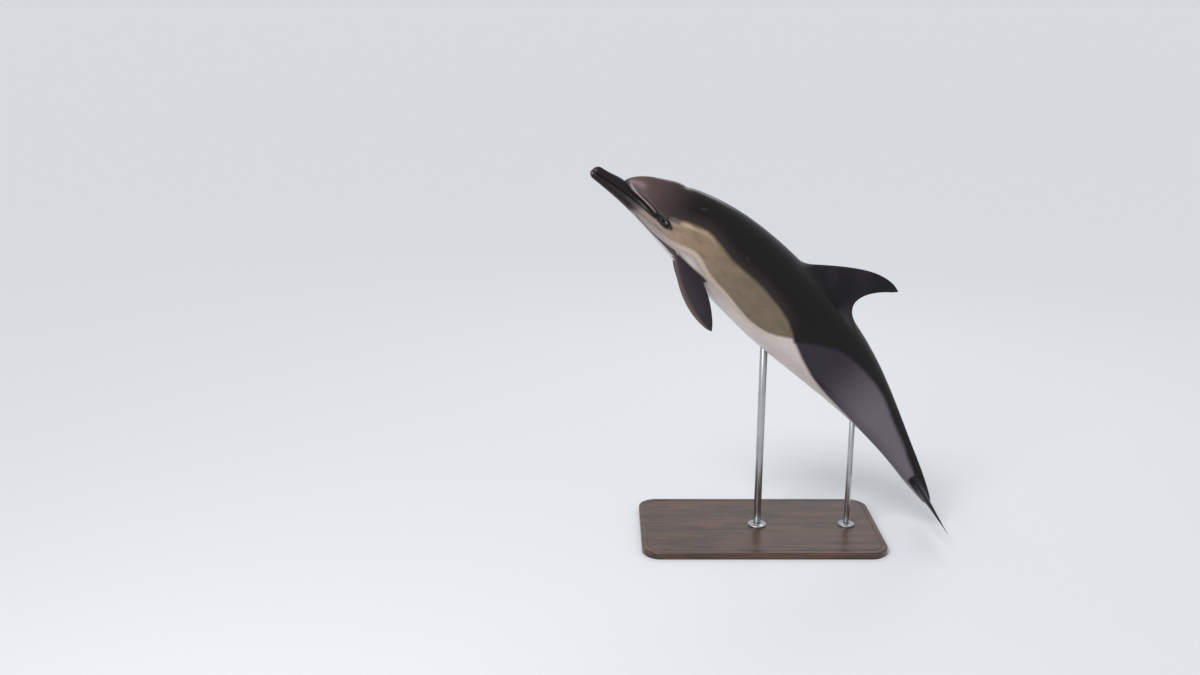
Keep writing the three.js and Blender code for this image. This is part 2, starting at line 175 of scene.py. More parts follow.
@dataclass
class BodyForm:
    """The dolphin's body as half-girths about a curved spine, without its fins."""

    length: float = 2100.0
    snout_tip: Triple = (-735.0, 0.0, 1588.0)
    gape: float = 0.142  # this and the next places along the body are stations
    beak_end: float = 0.2
    snout_round: float = 0.013
    melon_apex: float = 0.058
    melon_round: float = 0.05
    melon_side_round: float = 0.028
    tail_round: float = 0.02
    blowhole: float = 0.165
    cheek_blend: float = 6.0  # breadth over which the beak's sides ease into the head's
    brow_blend: Pair = (5.0, 0.35)  # the same at the crease, and the turn's cosine where it starts to fade
    stock_keel: Triple = (0.5, 0.7, 0.86)  # how far the sections sharpen, between these stations
    mouth_ceiling: float = 0.42  # greatest height of the mouth's line, of the upper jaw's
    mouth_fade: Pair = (0.132, 0.22)  # stations over which it turns into the flank's middle
    spine_steps: int = 1400
    mark_steps: int = 20  # between the marks on the spine that a search starts from
    search_rounds: int = 8
    search_range: Pair = (-0.02, 1.06)
    slope: SmoothCurve = curve(
        (0, 37.5), (0.15, 36.5), (0.3, 38), (0.45, 41.5), (0.6, 46), (0.75, 51), (0.9, 56.5), (1, 60)
    )
    back: SmoothCurve = curve(
        (0.055, 118), (0.08, 118), (0.1, 129), (0.125, 152), (0.15, 172), (0.18, 192), (0.24, 222),
        (0.34, 240), (0.45, 232), (0.58, 210), (0.7, 158), (0.8, 102), (0.88, 64), (0.93, 45), (1, 14),
    )
    belly: SmoothCurve = curve(
        (0, 20), (0.05, 24), (0.1, 34), (0.17, 62), (0.25, 97), (0.34, 123), (0.45, 142), (0.56, 131),
        (0.7, 94), (0.8, 67), (0.88, 50), (0.93, 40), (1, 12),
    )
    flank: SmoothCurve = curve(
        (0.06, 34), (0.12, 66), (0.175, 100), (0.24, 134), (0.34, 164), (0.43, 168), (0.53, 148),
        (0.64, 104), (0.75, 60), (0.85, 32), (0.93, 20), (1, 12),
    )
    jaw_height: SmoothCurve = curve((0, 35), (0.03, 41), (0.058, 51), (0.1, 42), (0.15, 30), (0.2, 2))
    jaw_width: SmoothCurve = curve((0, 19), (0.03, 26), (0.062, 36), (0.1, 53), (0.146, 80), (0.2, 84))
    mouth: SmoothCurve = curve((0, 6), (0.04, 13), (0.08, 17), (0.11, 16), (0.142, 12), (0.155, 9))
    melon_start: SmoothCurve = curve(
        (0, 0.058), (26, 0.066), (50, 0.0906), (68, 0.128), (80, 0.136), (90, 0.138)
    )
    crease: SmoothCurve = curve(
        (0, 0.0625), (26, 0.0752), (50, 0.1025), (68, 0.1371), (80, 0.146), (90, 0.148)
    )

    def __post_init__(self) -> None:
        """Lays the spine out by adding up its slope."""
        middles = (np.arange(self.spine_steps) + 0.5) / self.spine_steps
        aft, _ = self.directions(middles)
        steps = np.cumsum(aft, axis=0) * self.length / self.spine_steps
        self.spine = np.vstack([self.snout_tip, np.array(self.snout_tip) + steps])

    def directions(self, station: Array) -> tuple[Array, Array]:
        """The directions aft along the spine and up from it, at each station."""
        return heading(np.radians(self.slope(np.asarray(station, float))))

    def place(self, station: Array) -> Array:
        """Points of the spine, which runs on straight past both ends.

        Args:
            station: Stations along the spine.

        Returns:
            A point for each.
        """
        station = np.asarray(station, float)
        held = np.clip(station, 0.0, 1.0)
        i = np.minimum((held * self.spine_steps).astype(int), self.spine_steps - 1)
        share = (held * self.spine_steps - i)[..., None]
        aft, _ = self.directions(held)
        beyond = ((station - held) * self.length)[..., None] * aft
        return self.spine[i] * (1 - share) + self.spine[i + 1] * share + beyond

    def half_width(self, station: Array) -> Array:
        """Half-width of the body beside the spine: the jaws ahead, the flanks behind.

        Args:
            station: Stations along the spine.

        Returns:
            The half-width at each.
        """
        jaws = self.jaw_width(station) * nose_round(station, self.snout_round)
        head = self.flank(station) * nose_round(station - self.melon_apex, self.melon_round)
        trunk = self.flank(station) * nose_round(1 - station, self.tail_round)
        return np.where(station < self.beak_end, eased_max(jaws, head, self.cheek_blend), trunk)

    def sections(self, station: Array, turn: Array) -> tuple[Array, Array, Array]:
        """Reach of the three ovals that the skin follows.

        Args:
            station: Stations along the spine.
            turn: Their turns, in radians.

        Returns:
            The reach of the lower side, of the upper jaw, and of the head and trunk above the spine.
        """
        snout = nose_round(station, self.snout_round)
        tail = nose_round(1 - station, self.tail_round)
        side = self.half_width(station)
        power = 2 - self.stock_keel[0] * smooth_step(station, *self.stock_keel[1:])
        lower = oval_reach(self.belly(station) * snout * tail, side, turn, power)
        beak = oval_reach(self.jaw_height(station) * snout, side, turn)
        beak = np.where(station < self.beak_end, beak, 0.0)
        lean = np.degrees(np.minimum(np.abs(turn), math.pi / 2))
        run = self.melon_round + (self.melon_side_round - self.melon_round) * smooth_step(lean, 0, 90)
        rise = nose_round(station - self.melon_start(lean), run)
        head = oval_reach(self.back(station) * tail, side, turn, power) * rise
        return lower, beak, head

    def reach(self, station: Array, turn: Array) -> Array:
        """Distance from the spine to the skin.

        Args:
            station: Stations along the spine.
            turn: Their turns, in radians.

        Returns:
            The distance at each place.
        """
        lower, beak, head = self.sections(station, turn)
        easing = self.brow_blend[0] * np.clip(np.cos(turn) / self.brow_blend[1], 0.0, 1.0)
        return np.where(np.cos(turn) < 0, lower, eased_max(beak, head, easing))

    def point(self, station: Array, turn: Array) -> Array:
        """Points of the smooth body.

        Args:
            station: Stations along the spine.
            turn: Their turns, in radians.

        Returns:
            A point for each place.
        """
        station, turn = np.broadcast_arrays(np.asarray(station, float), np.asarray(turn, float))
        reach = self.reach(station, turn)
        _, up = self.directions(station)
        sideways = np.array([0.0, -1.0, 0.0]) * (reach * np.sin(turn))[..., None]
        return self.place(station) + up * (reach * np.cos(turn))[..., None] + sideways

    def normal(self, station: Array, turn: Array) -> Array:
        """Outward directions of the smooth body, from points close by.

        Args:
            station: Stations along the spine.
            turn: Their turns, in radians.

        Returns:
            A direction of length 1 for each place.
        """
        along, around = 0.0006, 0.012
        ahead = self.point(np.maximum(station - along, 1e-5), turn)
        behind = self.point(np.minimum(station + along, 1 - 1e-5), turn)
        above, below = self.point(station, turn - around), self.point(station, turn + around)
        return unit(np.cross(below - above, behind - ahead))

    def locate(self, points: Array) -> tuple[Array, Array, Array]:
        """Finds where points stand about the spine.

        Args:
            points: Points near the body, as rows.

        Returns:
            The station and turn of each point, and its distance outside the skin.
        """
        marks = self.spine[:: self.mark_steps]
        nearest = np.linalg.norm(points[:, None] - marks[None], axis=-1).argmin(1)
        station = nearest * self.mark_steps / self.spine_steps
        for _ in range(self.search_rounds):
            aft, up = self.directions(np.clip(station, 0, 1))
            offset = points - self.place(station)
            station = np.clip(station + (offset * aft).sum(-1) / self.length, *self.search_range)
        upwards, sideways = (offset * up).sum(-1), -offset[:, 1]
        turn = np.arctan2(sideways, upwards)
        return station, turn, np.hypot(upwards, sideways) - self.reach(station, turn)

    def mouth_height(self, station: Array) -> Array:
        """Height of the mouth's line above the spine, brought down to it at the tip of the snout."""
        upper = self.jaw_height(station) * nose_round(station, self.snout_round)
        return np.minimum(self.mouth(station), self.mouth_ceiling * upper)

    def over_mouth(self, station: Array, turn: Array) -> Array:
        """Height of places on the skin above the mouth's line."""
        return self.reach(station, turn) * np.cos(turn) - self.mouth_height(station)

    def mouth_turn(self, station: Array) -> Array:
        """Turn of the mouth's line, which fades into the flank's middle behind the head.

        Args:
            station: Stations along the spine.

        Returns:
            The turn at each, in radians.
        """
        upper = np.maximum(self.jaw_height(station) * nose_round(station, self.snout_round), 1e-3)
        upright = np.clip(self.mouth_height(station) / upper, 0.0, self.mouth_ceiling)
        side = self.half_width(station) * np.sqrt(1 - upright**2)
        at_mouth = np.arctan2(side, upright * upper)
        return at_mouth + (math.pi / 2 - at_mouth) * smooth_step(station, *self.mouth_fade)


@dataclass
class Relief:
    """Small forms on the skin, in millimetres above the smooth body.

    A form's shape is a bell across it: its height, where it stands and its breadth.
    """

    form: BodyForm
    mouth_groove: Triple = (-2.6, 0.0, 1.7)
    mouth_lip: Triple = (0.9, 4.5, 2.5)
    mouth_end: Pair = (0.142, 0.154)  # stations over which the groove runs out
    crease_fold: Triple = (-2.2, -0.5, 3.2)
    crease_sides: Pair = (68.0, 80.0)  # degrees over which it runs out at the sides
    crease_end: Pair = (0.146, 0.158)
    crease_steepness: float = 0.35  # the least that counts
    blowhole_radius: float = 15.0
    blowhole_slit: Triple = (-5.5, 0.0, 2.7)
    blowhole_lip: Triple = (1.2, -7.0, 5.0)
    blowhole_horns: Pair = (52.0, 72.0)  # degrees round the arc over which the slit runs out
    mound: Triple = (4.0, 0.0, 40.0)
    mound_ahead: float = 22.0  # of the slit
    nape: Triple = (-7.0, 0.0, 24.0)
    nape_aft: float = 5.0
    nape_breadth: float = 0.7  # below 1 makes the dip wider than long
    eye_place: Pair = (0.1717, 76.3)  # station and turn
    eye_swell: Triple = (2.0, 0.0, 34.0)
    ear_place: Pair = (0.197, 81.0)
    ear_hole: Triple = (-1.5, 0.0, 2.6)
    navel_station: float = 0.462
    navel_length: float = 1.6  # for its breadth
    navel: Triple = (-2.4, 0.0, 6.0)
    slit_stations: Knots = ((0.612, 0.65), (0.672, 0.684))
    slit_run: float = 0.006  # stations over which its ends run out
    slit: Triple = (-3.4, 0.0, 3.2)
    slit_lip: Triple = (1.4, 8.0, 6.0)

    def flat(self, station: Array, turn: Array, centre: Pair) -> tuple[Array, Array]:
        """Distances aft of a place on the skin and above it. The centre's turn is in degrees."""
        girth = self.form.reach(np.array(centre[0]), np.radians(centre[1]))
        return (station - centre[0]) * self.form.length, (np.radians(centre[1]) - turn) * girth

    def mouth_line(self, station: Array, turn: Array) -> Array:
        """The groove between the jaws, with a lip on each side."""
        across, shown = self.form.over_mouth(station, turn), 1 - smooth_step(station, *self.mouth_end)
        return shown * (ridge(across, self.mouth_groove) + ridge(np.abs(across), self.mouth_lip))

    def crease_distance(self, station: Array, turn: Array) -> Array:
        """Distance from the fold between the beak and the forehead.

        Args:
            station: Stations along the spine.
            turn: Their turns, in radians.

        Returns:
            Distances in millimetres, positive on the forehead.
        """

        def excess(at_station: Array, at_turn: Array) -> Array:
            """How far the forehead's oval stands over the beak's."""
            _, beak, head = self.form.sections(at_station, at_turn)
            return head - beak

        along, around = 0.0008, 0.01
        here = excess(station, turn)
        girth = np.maximum(self.form.reach(station, turn), 1.0)
        aft = excess(station + along, turn) - excess(station - along, turn)
        down = excess(station, turn + around) - excess(station, turn - around)
        aft, down = aft / (2 * along * self.form.length), down / (2 * around * girth)
        return here / np.maximum(np.hypot(aft, down), self.crease_steepness)

    def crease(self, station: Array, turn: Array) -> Array:
        """The sharp fold where the forehead rises from the beak."""
        gone = smooth_step(np.degrees(turn), *self.crease_sides), smooth_step(station, *self.crease_end)
        return (1 - gone[0]) * (1 - gone[1]) * ridge(self.crease_distance(station, turn), self.crease_fold)

    def blowhole(self, station: Array, turn: Array) -> Array:
        """The breathing slit, an arc with its horns forward, between a low mound and a dip behind it.

        Args:
            station: Stations along the spine.
            turn: Their turns, in radians.

        Returns:
            Heights at the places.
        """
        aft, side = self.flat(station, turn, (self.form.blowhole, 0.0))
        ahead = aft + self.blowhole_radius
        off_arc = np.hypot(ahead, side) - self.blowhole_radius
        shown = 1 - smooth_step(np.abs(np.degrees(np.arctan2(side, ahead))), *self.blowhole_horns)
        slit = ridge(off_arc, self.blowhole_slit) + ridge(off_arc, self.blowhole_lip)
        mound = ridge(np.hypot(aft + self.mound_ahead, side), self.mound)
        dip = ridge(np.hypot(aft - self.nape_aft, self.nape_breadth * side), self.nape)
        return shown * slit + mound + dip

    def belly_marks(self, station: Array, turn: Array) -> Array:
        """The navel and the slits on the belly's midline.

        Args:
            station: Stations along the spine.
            turn: Their turns, in radians.

        Returns:
            Heights at the places.
        """
        side = (math.pi - turn) * self.form.belly(station)
        aft = (station - self.navel_station) * self.form.length
        height, run = ridge(np.hypot(aft / self.navel_length, side), self.navel), self.slit_run
        for start, end in self.slit_stations:
            shown = smooth_step(station, start, start + run) * (1 - smooth_step(station, end - run, end))
            height += shown * (ridge(side, self.slit) + ridge(np.abs(side), self.slit_lip))
        return height

    def height(self, station: Array, turn: Array) -> Array:
        """All small forms together.

        Args:
            station: Stations along the spine.
            turn: Their turns, in radians.

        Returns:
            The height at each place.
        """
        total = ridge(np.hypot(*self.flat(station, turn, self.eye_place)), self.eye_swell)
        total += ridge(np.hypot(*self.flat(station, turn, self.ear_place)), self.ear_hole)
        for part in (self.mouth_line, self.crease, self.blowhole, self.belly_marks):
            total = total + part(station, turn)
        return total

    def point(self, station: Array, turn: Array) -> Array:
        """Points of the skin with its small forms."""
        lift = self.height(station, turn)[..., None]
        return self.form.point(station, turn) + self.form.normal(station, turn) * lift


# ---- Fins ----


def bezier(points: Knots, share: Array) -> Array:
    """A cubic Bezier curve, run on straight ahead of its start.

    Args:
        points: Its four control points.
        share: Shares along the curve, which may be negative.

    Returns:
        A point of the curve for each share.
    """
    p0, p1, p2, p3 = np.array(points, float)
    t = np.clip(share, 0.0, 1.0)[..., None]
    on_curve = (1 - t) ** 3 * p0 + 3 * t * (1 - t) ** 2 * p1 + 3 * t * t * (1 - t) * p2 + t**3 * p3
    return on_curve + np.minimum(share, 0.0)[..., None] * 3 * (p1 - p0)


def hermite(share: float, start: Array, leave: Array, end: Array, arrive: Array) -> Array:
    """Points of smooth curves that lead from one row of points to another.

    Args:
        share: Share of the way.
        start: Where the curves start.
        leave: Their speed there.
        end: Where they end.
        arrive: Their speed there.

    Returns:
        A point of each curve.
    """
    square, cube = share**2, share**3
    at_start, at_end = 2 * cube - 3 * square + 1, 3 * square - 2 * cube
    return at_start * start + (cube - 2 * square + share) * leave + at_end * end + (cube - square) * arrive


@dataclass
class Blade:
    """A fin: two edge curves of (aft, outwards) points from its root to its tip, and a thickness."""

    leading: Knots
    trailing: Knots
    root_thickness: float
    tip_thickness: float
    fillet: float  # clearance over the body at which the fin's own surface starts
    origin: Array = field(init=False)
    aft: Array = field(init=False)
    out: Array = field(init=False)
    across: Array = field(init=False)
    nose: float = 0.1  # share of each face's points that turn round the leading edge
    edge_round: float = 0.14
    tip_cut: float = 0.02  # share of its length that the rounding takes off the point
    tip_round: float = 0.06  # share over which the tip is rounded
    fullness: float = 2.6  # of the section, which makes its thickest part 1 high
    taper: float = 1.15  # how much faster than its length the fin thins out
    thinning: float = 14.0  # chord below which it thins towards its edges
    root_search: Pair = (-0.3, 0.6)  # shares between which its root is looked for
    root_halvings: int = 16

    def stand(self, origin: Array, aft: Array, out: Array, towards: Array) -> None:
        """Sets where the fin stands.

        Args:
            origin: Where its leading edge starts.
            aft: Direction of its chord.
            out: Direction of its length.
            towards: A direction on the side where its first face looks.
        """
        self.origin, self.aft, self.out = origin, unit(aft), unit(out)
        across = unit(np.cross(self.aft, self.out))
        self.across = across if across @ towards > 0 else -across

    def chord_share(self, around: Array) -> Array:
        """Finds a place on the chord: points crowd at both edges and are even between them.

        Args:
            around: Shares of the way round the blade.

        Returns:
            0 at the leading edge and 1 at the trailing edge.
        """
        way = 1 - np.abs(1 - 2 * around)
        near = np.minimum(way, 1 - way)
        reach = self.nose / (2 - 2 * self.nose)
        even = reach + (near - self.nose) * (1 - 2 * reach) / (1 - 2 * self.nose)
        share = np.where(near < self.nose, reach * (near / self.nose) ** 2, even)
        return np.where(way <= 0.5, share, 1 - share)

    def point(self, share: Array, around: Array) -> Array:
        """Points of the blade's surface.

        Args:
            share: Shares of the way from root to tip.
            around: Shares of the way round, from the leading edge over the first face and back.

        Returns:
            A point for each.
        """
        share, around = np.broadcast_arrays(share, around)
        cut = share * (1 - self.tip_cut)
        front, rear = bezier(self.leading, cut), bezier(self.trailing, cut)
        narrow = np.sqrt(1 - np.clip((share - 1) / self.tip_round + 1, 0, 1) ** 2)[..., None] / 2
        middle, span = (front + rear) / 2, (rear - front) * narrow
        front, rear = middle - span, middle + span
        chord = self.chord_share(around)
        flat = front + (rear - front) * chord[..., None]
        size = np.interp(share * self.taper, [0, 1], [self.root_thickness, self.tip_thickness])
        size = size * (1 - np.exp(-np.linalg.norm(rear - front, axis=-1) / self.thinning))
        full = self.fullness * np.sqrt(chord) * (1 - chord) * (1 - self.edge_round)
        edge = self.edge_round * 2 * np.sqrt(np.clip(chord * (1 - chord), 0, 1))
        half = size / 2 * (full + edge) * np.where(around <= 0.5, 1.0, -1.0)
        spread = self.across * half[..., None]
        return self.origin + self.aft * flat[..., :1] + self.out * flat[..., 1:] + spread

    def root_shares(self, form: BodyForm, around: Array) -> Array:
        """Shares at which the blade comes clear of the body by its fillet.

        Args:
            form: The body it stands on.
            around: Shares of the way round the blade.

        Returns:
            A share for each.
        """
        low, high = (np.full(around.shape, end) for end in self.root_search)
        for _ in range(self.root_halvings):
            middle = (low + high) / 2
            _, _, outside = form.locate(self.point(middle, around))
            clear = outside > self.fillet
            high, low = np.where(clear, middle, high), np.where(clear, low, middle)
        return (low + high) / 2


def blade(**sizes: object) -> Blade:
    """A dataclass field that holds a fin of these sizes."""
    return field(default_factory=lambda: Blade(**sizes))


# ---- The skin's mesh ----


class Shell:
    """One half of the skin, gathered ring by ring, with the fields its markings read."""

    def __init__(self) -> None:
        """Starts empty."""
        self.points: list[Array] = []
        self.fields: dict[str, list[Array]] = {name: [] for name in ("station", "turn", "fin", "chord")}
        self.faces: Faces = []
        self.count = 0

    def add(self, points: Array, **values: Number) -> Array:
        """Adds points.

        Args:
            points: The points, as rows.
            **values: A value or values of each field, 0 where one is left out.

        Returns:
            The index of each point.
        """
        self.points.append(points)
        for name, store in self.fields.items():
            store.append(np.broadcast_to(np.asarray(values.get(name, 0.0), float), (len(points),)))
        self.count += len(points)
        return np.arange(self.count - len(points), self.count)

    def grow(self, ring: Array, points: Array, closed: bool, **values: Number) -> Array:
        """Adds a ring of points and fills the band up to it with quads.

        Args:
            ring: Indices of the ring round it, anticlockwise as seen from outside.
            points: The new ring's points.
            closed: Whether the rings close on themselves.
            **values: A value or values of each field.

        Returns:
            Indices of the new ring.
        """
        new, count = self.add(points, **values), len(ring)
        for j in range(count if closed else count - 1):
            k = (j + 1) % count
            self.faces.append((ring[j], ring[k], new[k], new[j]))
        return new

    def fan(self, ring: Array, centre: int, closed: bool) -> None:
        """Closes a ring with triangles to one point.

        Args:
            ring: Indices of the ring, anticlockwise as seen from outside.
            centre: Index of the point.
            closed: Whether the ring closes on itself.
        """
        count = len(ring)
        for j in range(count if closed else count - 1):
            self.faces.append((ring[j], ring[(j + 1) % count], centre))


@dataclass
class SkinGrid:
    """Rows of points along the body and columns round its left half."""

    columns: int = 84
    snout_rows: int = 13
    tail_rows: int = 12
    spacing: SmoothCurve = curve(
        (0, 2.4), (0.05, 1.9), (0.07, 1.9), (0.09, 2.8), (0.19, 3.2), (0.205, 4), (0.25, 4.4), (0.29, 9.5),
        (0.4, 9.5), (0.425, 6.5), (0.56, 6.5), (0.6, 9.5), (0.87, 9.5), (0.9, 5), (1, 4.5),
    )
    mouth_crowding: SmoothCurve = curve((0, 0.35), (0.12, 0.42), (0.19, 0.42), (0.26, 0.0))
    keel_crowding: SmoothCurve = curve(
        (0, 0.1), (0.13, 0.12), (0.155, 0.34), (0.175, 0.34), (0.2, 0.2), (0.4, 0.45), (0.7, 0.4), (1, 0.2)
    )

    sweep_rounds: int = 5

    def stations(self, form: BodyForm) -> Array:
        """Stations of the rows.

        Args:
            form: The body.

        Returns:
            The stations from the snout to the tail, without the two poles.
        """
        quarter = math.pi / 2
        snout = 1 - np.cos(np.arange(1, self.snout_rows + 1) / self.snout_rows * quarter)
        tail = 1 - np.cos(np.arange(self.tail_rows, 0, -1) / self.tail_rows * quarter)
        snout, tail = form.snout_round * snout, 1 - form.tail_round * tail
        trunk = [snout[-1]]
        while trunk[-1] < tail[0]:
            trunk.append(trunk[-1] + float(self.spacing(trunk[-1])) / form.length)
        trunk = np.array(trunk)
        trunk = trunk[0] + (trunk - trunk[0]) * (tail[0] - trunk[0]) / (trunk[-1] - trunk[0])
        return np.concatenate([snout, trunk[1:-1], tail])

    def turns(self, form: BodyForm, stations: Array) -> Array:
        """Turns of the columns, crowded at the mouth's line and at the keels.

        Args:
            form: The body.
            stations: Stations of the points, by row and column.

        Returns:
            A turn for each point.
        """
        place = np.linspace(0, 1, self.columns + 1)[None]
        mouth = self.mouth_crowding(stations) / (4 * math.pi) * np.sin(4 * math.pi * place)
        keel = self.keel_crowding(stations) / (2 * math.pi) * np.sin(2 * math.pi * place)
        share = place - mouth - keel
        middle = form.mouth_turn(stations)
        upper = 2 * share * middle
        lower = middle + (2 * share - 1) * (math.pi - middle)
        return np.where(share < 0.5, upper, lower)

    def lay_out(self, form: BodyForm) -> tuple[Array, Array]:
        """Places the points. The head's rows sweep back at the sides, so that one runs along the crease.

        Args:
            form: The body.

        Returns:
            The station and the turn of each point, by row and column.
        """
        middle = self.stations(form)[:, None]
        swept = np.interp(middle, (form.snout_round, form.crease(0.0), form.beak_end), (0, 1, 0))
        stations = np.repeat(middle, self.columns + 1, axis=1)
        for _ in range(self.sweep_rounds):
            turns = self.turns(form, stations)
            lean = np.degrees(np.minimum(turns, math.pi / 2))
            stations = middle + swept * (form.crease(lean) - form.crease(0.0))
        return stations, turns


@dataclass
class Lattice:
    """The body's rows and columns of points, and which quads between them are still whole."""

    index: Array
    stations: Array
    turns: Array
    station_weight: float = 10.0  # turns in one station, for a rough distance

    def __post_init__(self) -> None:
        """Starts with every quad."""
        self.kept = np.ones(np.subtract(self.index.shape, 1), bool)

    def open(self, low: Sequence, high: Sequence, half: bool) -> tuple[Array, int]:
        """Takes out the block of quads that covers a patch of the body.

        Args:
            low: Least station and turn of the patch.
            high: Greatest station and turn.
            half: Whether the block lies against the back's midline.

        Returns:
            Indices of the hole's edge, anticlockwise as seen from outside, and the block's last column.
        """
        aft, round_ = self.stations - (low[0] + high[0]) / 2, self.turns - (low[1] + high[1]) / 2
        off = np.hypot(self.station_weight * aft, round_)
        row, column = np.unravel_index(off.argmin(), off.shape)
        r0, r1 = np.searchsorted(self.stations[:, column], (low[0], high[0]))
        c0, c1 = np.searchsorted(self.turns[row], (low[1], high[1]))
        r0, c0 = r0 - 1, max(c0 - 1, 0)
        self.kept[r0:r1, c0:c1] = False
        front, side = self.index[r0, c0:c1], self.index[r0:r1, c1]
        if half:
            return np.concatenate([front, side, self.index[r1, c0 : c1 + 1][::-1]]), int(c1)
        rear, top = self.index[r1, c0 + 1 : c1 + 1][::-1], self.index[r0 + 1 : r1 + 1, c0][::-1]
        return np.concatenate([front, side, rear, top]), int(c1)


@dataclass
class EyeSocket:
    """The lids: rings that leave the cheek, swell into lids and roll in against the eyeball."""

    block: Pair = (26.0, 22.0)  # half-length and half-height of the patch
    opening: Pair = (12.5, 6.4)
    corner_pinch: float = 0.32
    tilt: float = 7.0  # degrees: the front corner sits lower
    lid: float = 1.5  # thickness of a lid at its edge
    swells: Sequence[Triple] = ((0.9, 0.84, 0.13), (-1.1, 0.6, 0.1))  # the lid and the furrow round it
    tuck: Knots = ((0.965, 0.15), (0.92, 0.75), (0.88, 1.5), (0.8, 3.0))  # size and depth, behind the edge
    rings: int = 12
    crowding: float = 0.75  # below 1 crowds the rings towards the opening
    hold: Pair = (0.35, 1.0)  # shares of the way over which the lids come to follow the eyeball
    pole: float = 0.4  # depth of the last point behind the lids, of the eyeball's radius

    def build(self, shell: Shell, relief: Relief, loop: Array, ball: Array, radius: float) -> None:
        """Fills a hole in the skin with the lids.

        Args:
            shell: The half skin, with the hole's edge in it.
            relief: The skin's form.
            loop: Indices of the hole's edge.
            ball: Centre of the eyeball, in millimetres.
            radius: Radius of the eyeball.
        """
        form = relief.form
        middle = np.array(relief.eye_place[0]), np.radians(relief.eye_place[1])
        station = np.concatenate(shell.fields["station"])[loop]
        turn = np.concatenate(shell.fields["turn"])[loop]
        edge_aft, edge_up = relief.flat(station, turn, relief.eye_place)
        angle = np.arctan2(edge_up / self.block[1], edge_aft / self.block[0])
        rim_up = self.opening[1] * np.sin(angle) * (1 - self.corner_pinch * np.cos(angle) ** 2)
        rim = (self.opening[0] * np.cos(angle) + 1j * rim_up) * np.exp(1j * math.radians(self.tilt))
        out = form.normal(*middle)
        rim_station = middle[0] + rim.real / form.length
        rim_turn = middle[1] - rim.imag / form.reach(*middle)
        rim = form.point(rim_station, rim_turn) - ball
        rim_cover = self.cover(rim - (rim @ out)[:, None] * out, radius)
        ring = loop
        for k in range(1, self.rings + 1):
            share = (k / self.rings) ** self.crowding
            at_station = station + (rim_station - station) * share
            at_turn = turn + (rim_turn - turn) * share
            base = relief.point(at_station, at_turn)
            height = (base - ball) @ out
            flat = base - ball - height[:, None] * out
            height = height + (rim_cover - height) * smooth_step(share, *self.hold)
            height += sum(ridge(share, shape) for shape in self.swells)
            points = ball + flat + height[:, None] * out
            ring = shell.grow(ring, points, True, station=at_station, turn=at_turn)
        for shrink, drop in self.tuck:
            near = flat * shrink
            height = self.cover(near, radius) - drop
            points = ball + near + height[:, None] * out
            ring = shell.grow(ring, points, True, station=at_station, turn=at_turn)
        centre = shell.add((ball + out * radius * self.pole)[None], station=middle[0], turn=middle[1])
        shell.fan(ring, int(centre[0]), True)

    def cover(self, flat: Array, radius: float) -> Array:
        """Height of a lid over the eyeball's centre, at places across it."""
        return np.sqrt(np.maximum(radius**2 - (flat**2).sum(-1), 4.0)) + self.lid


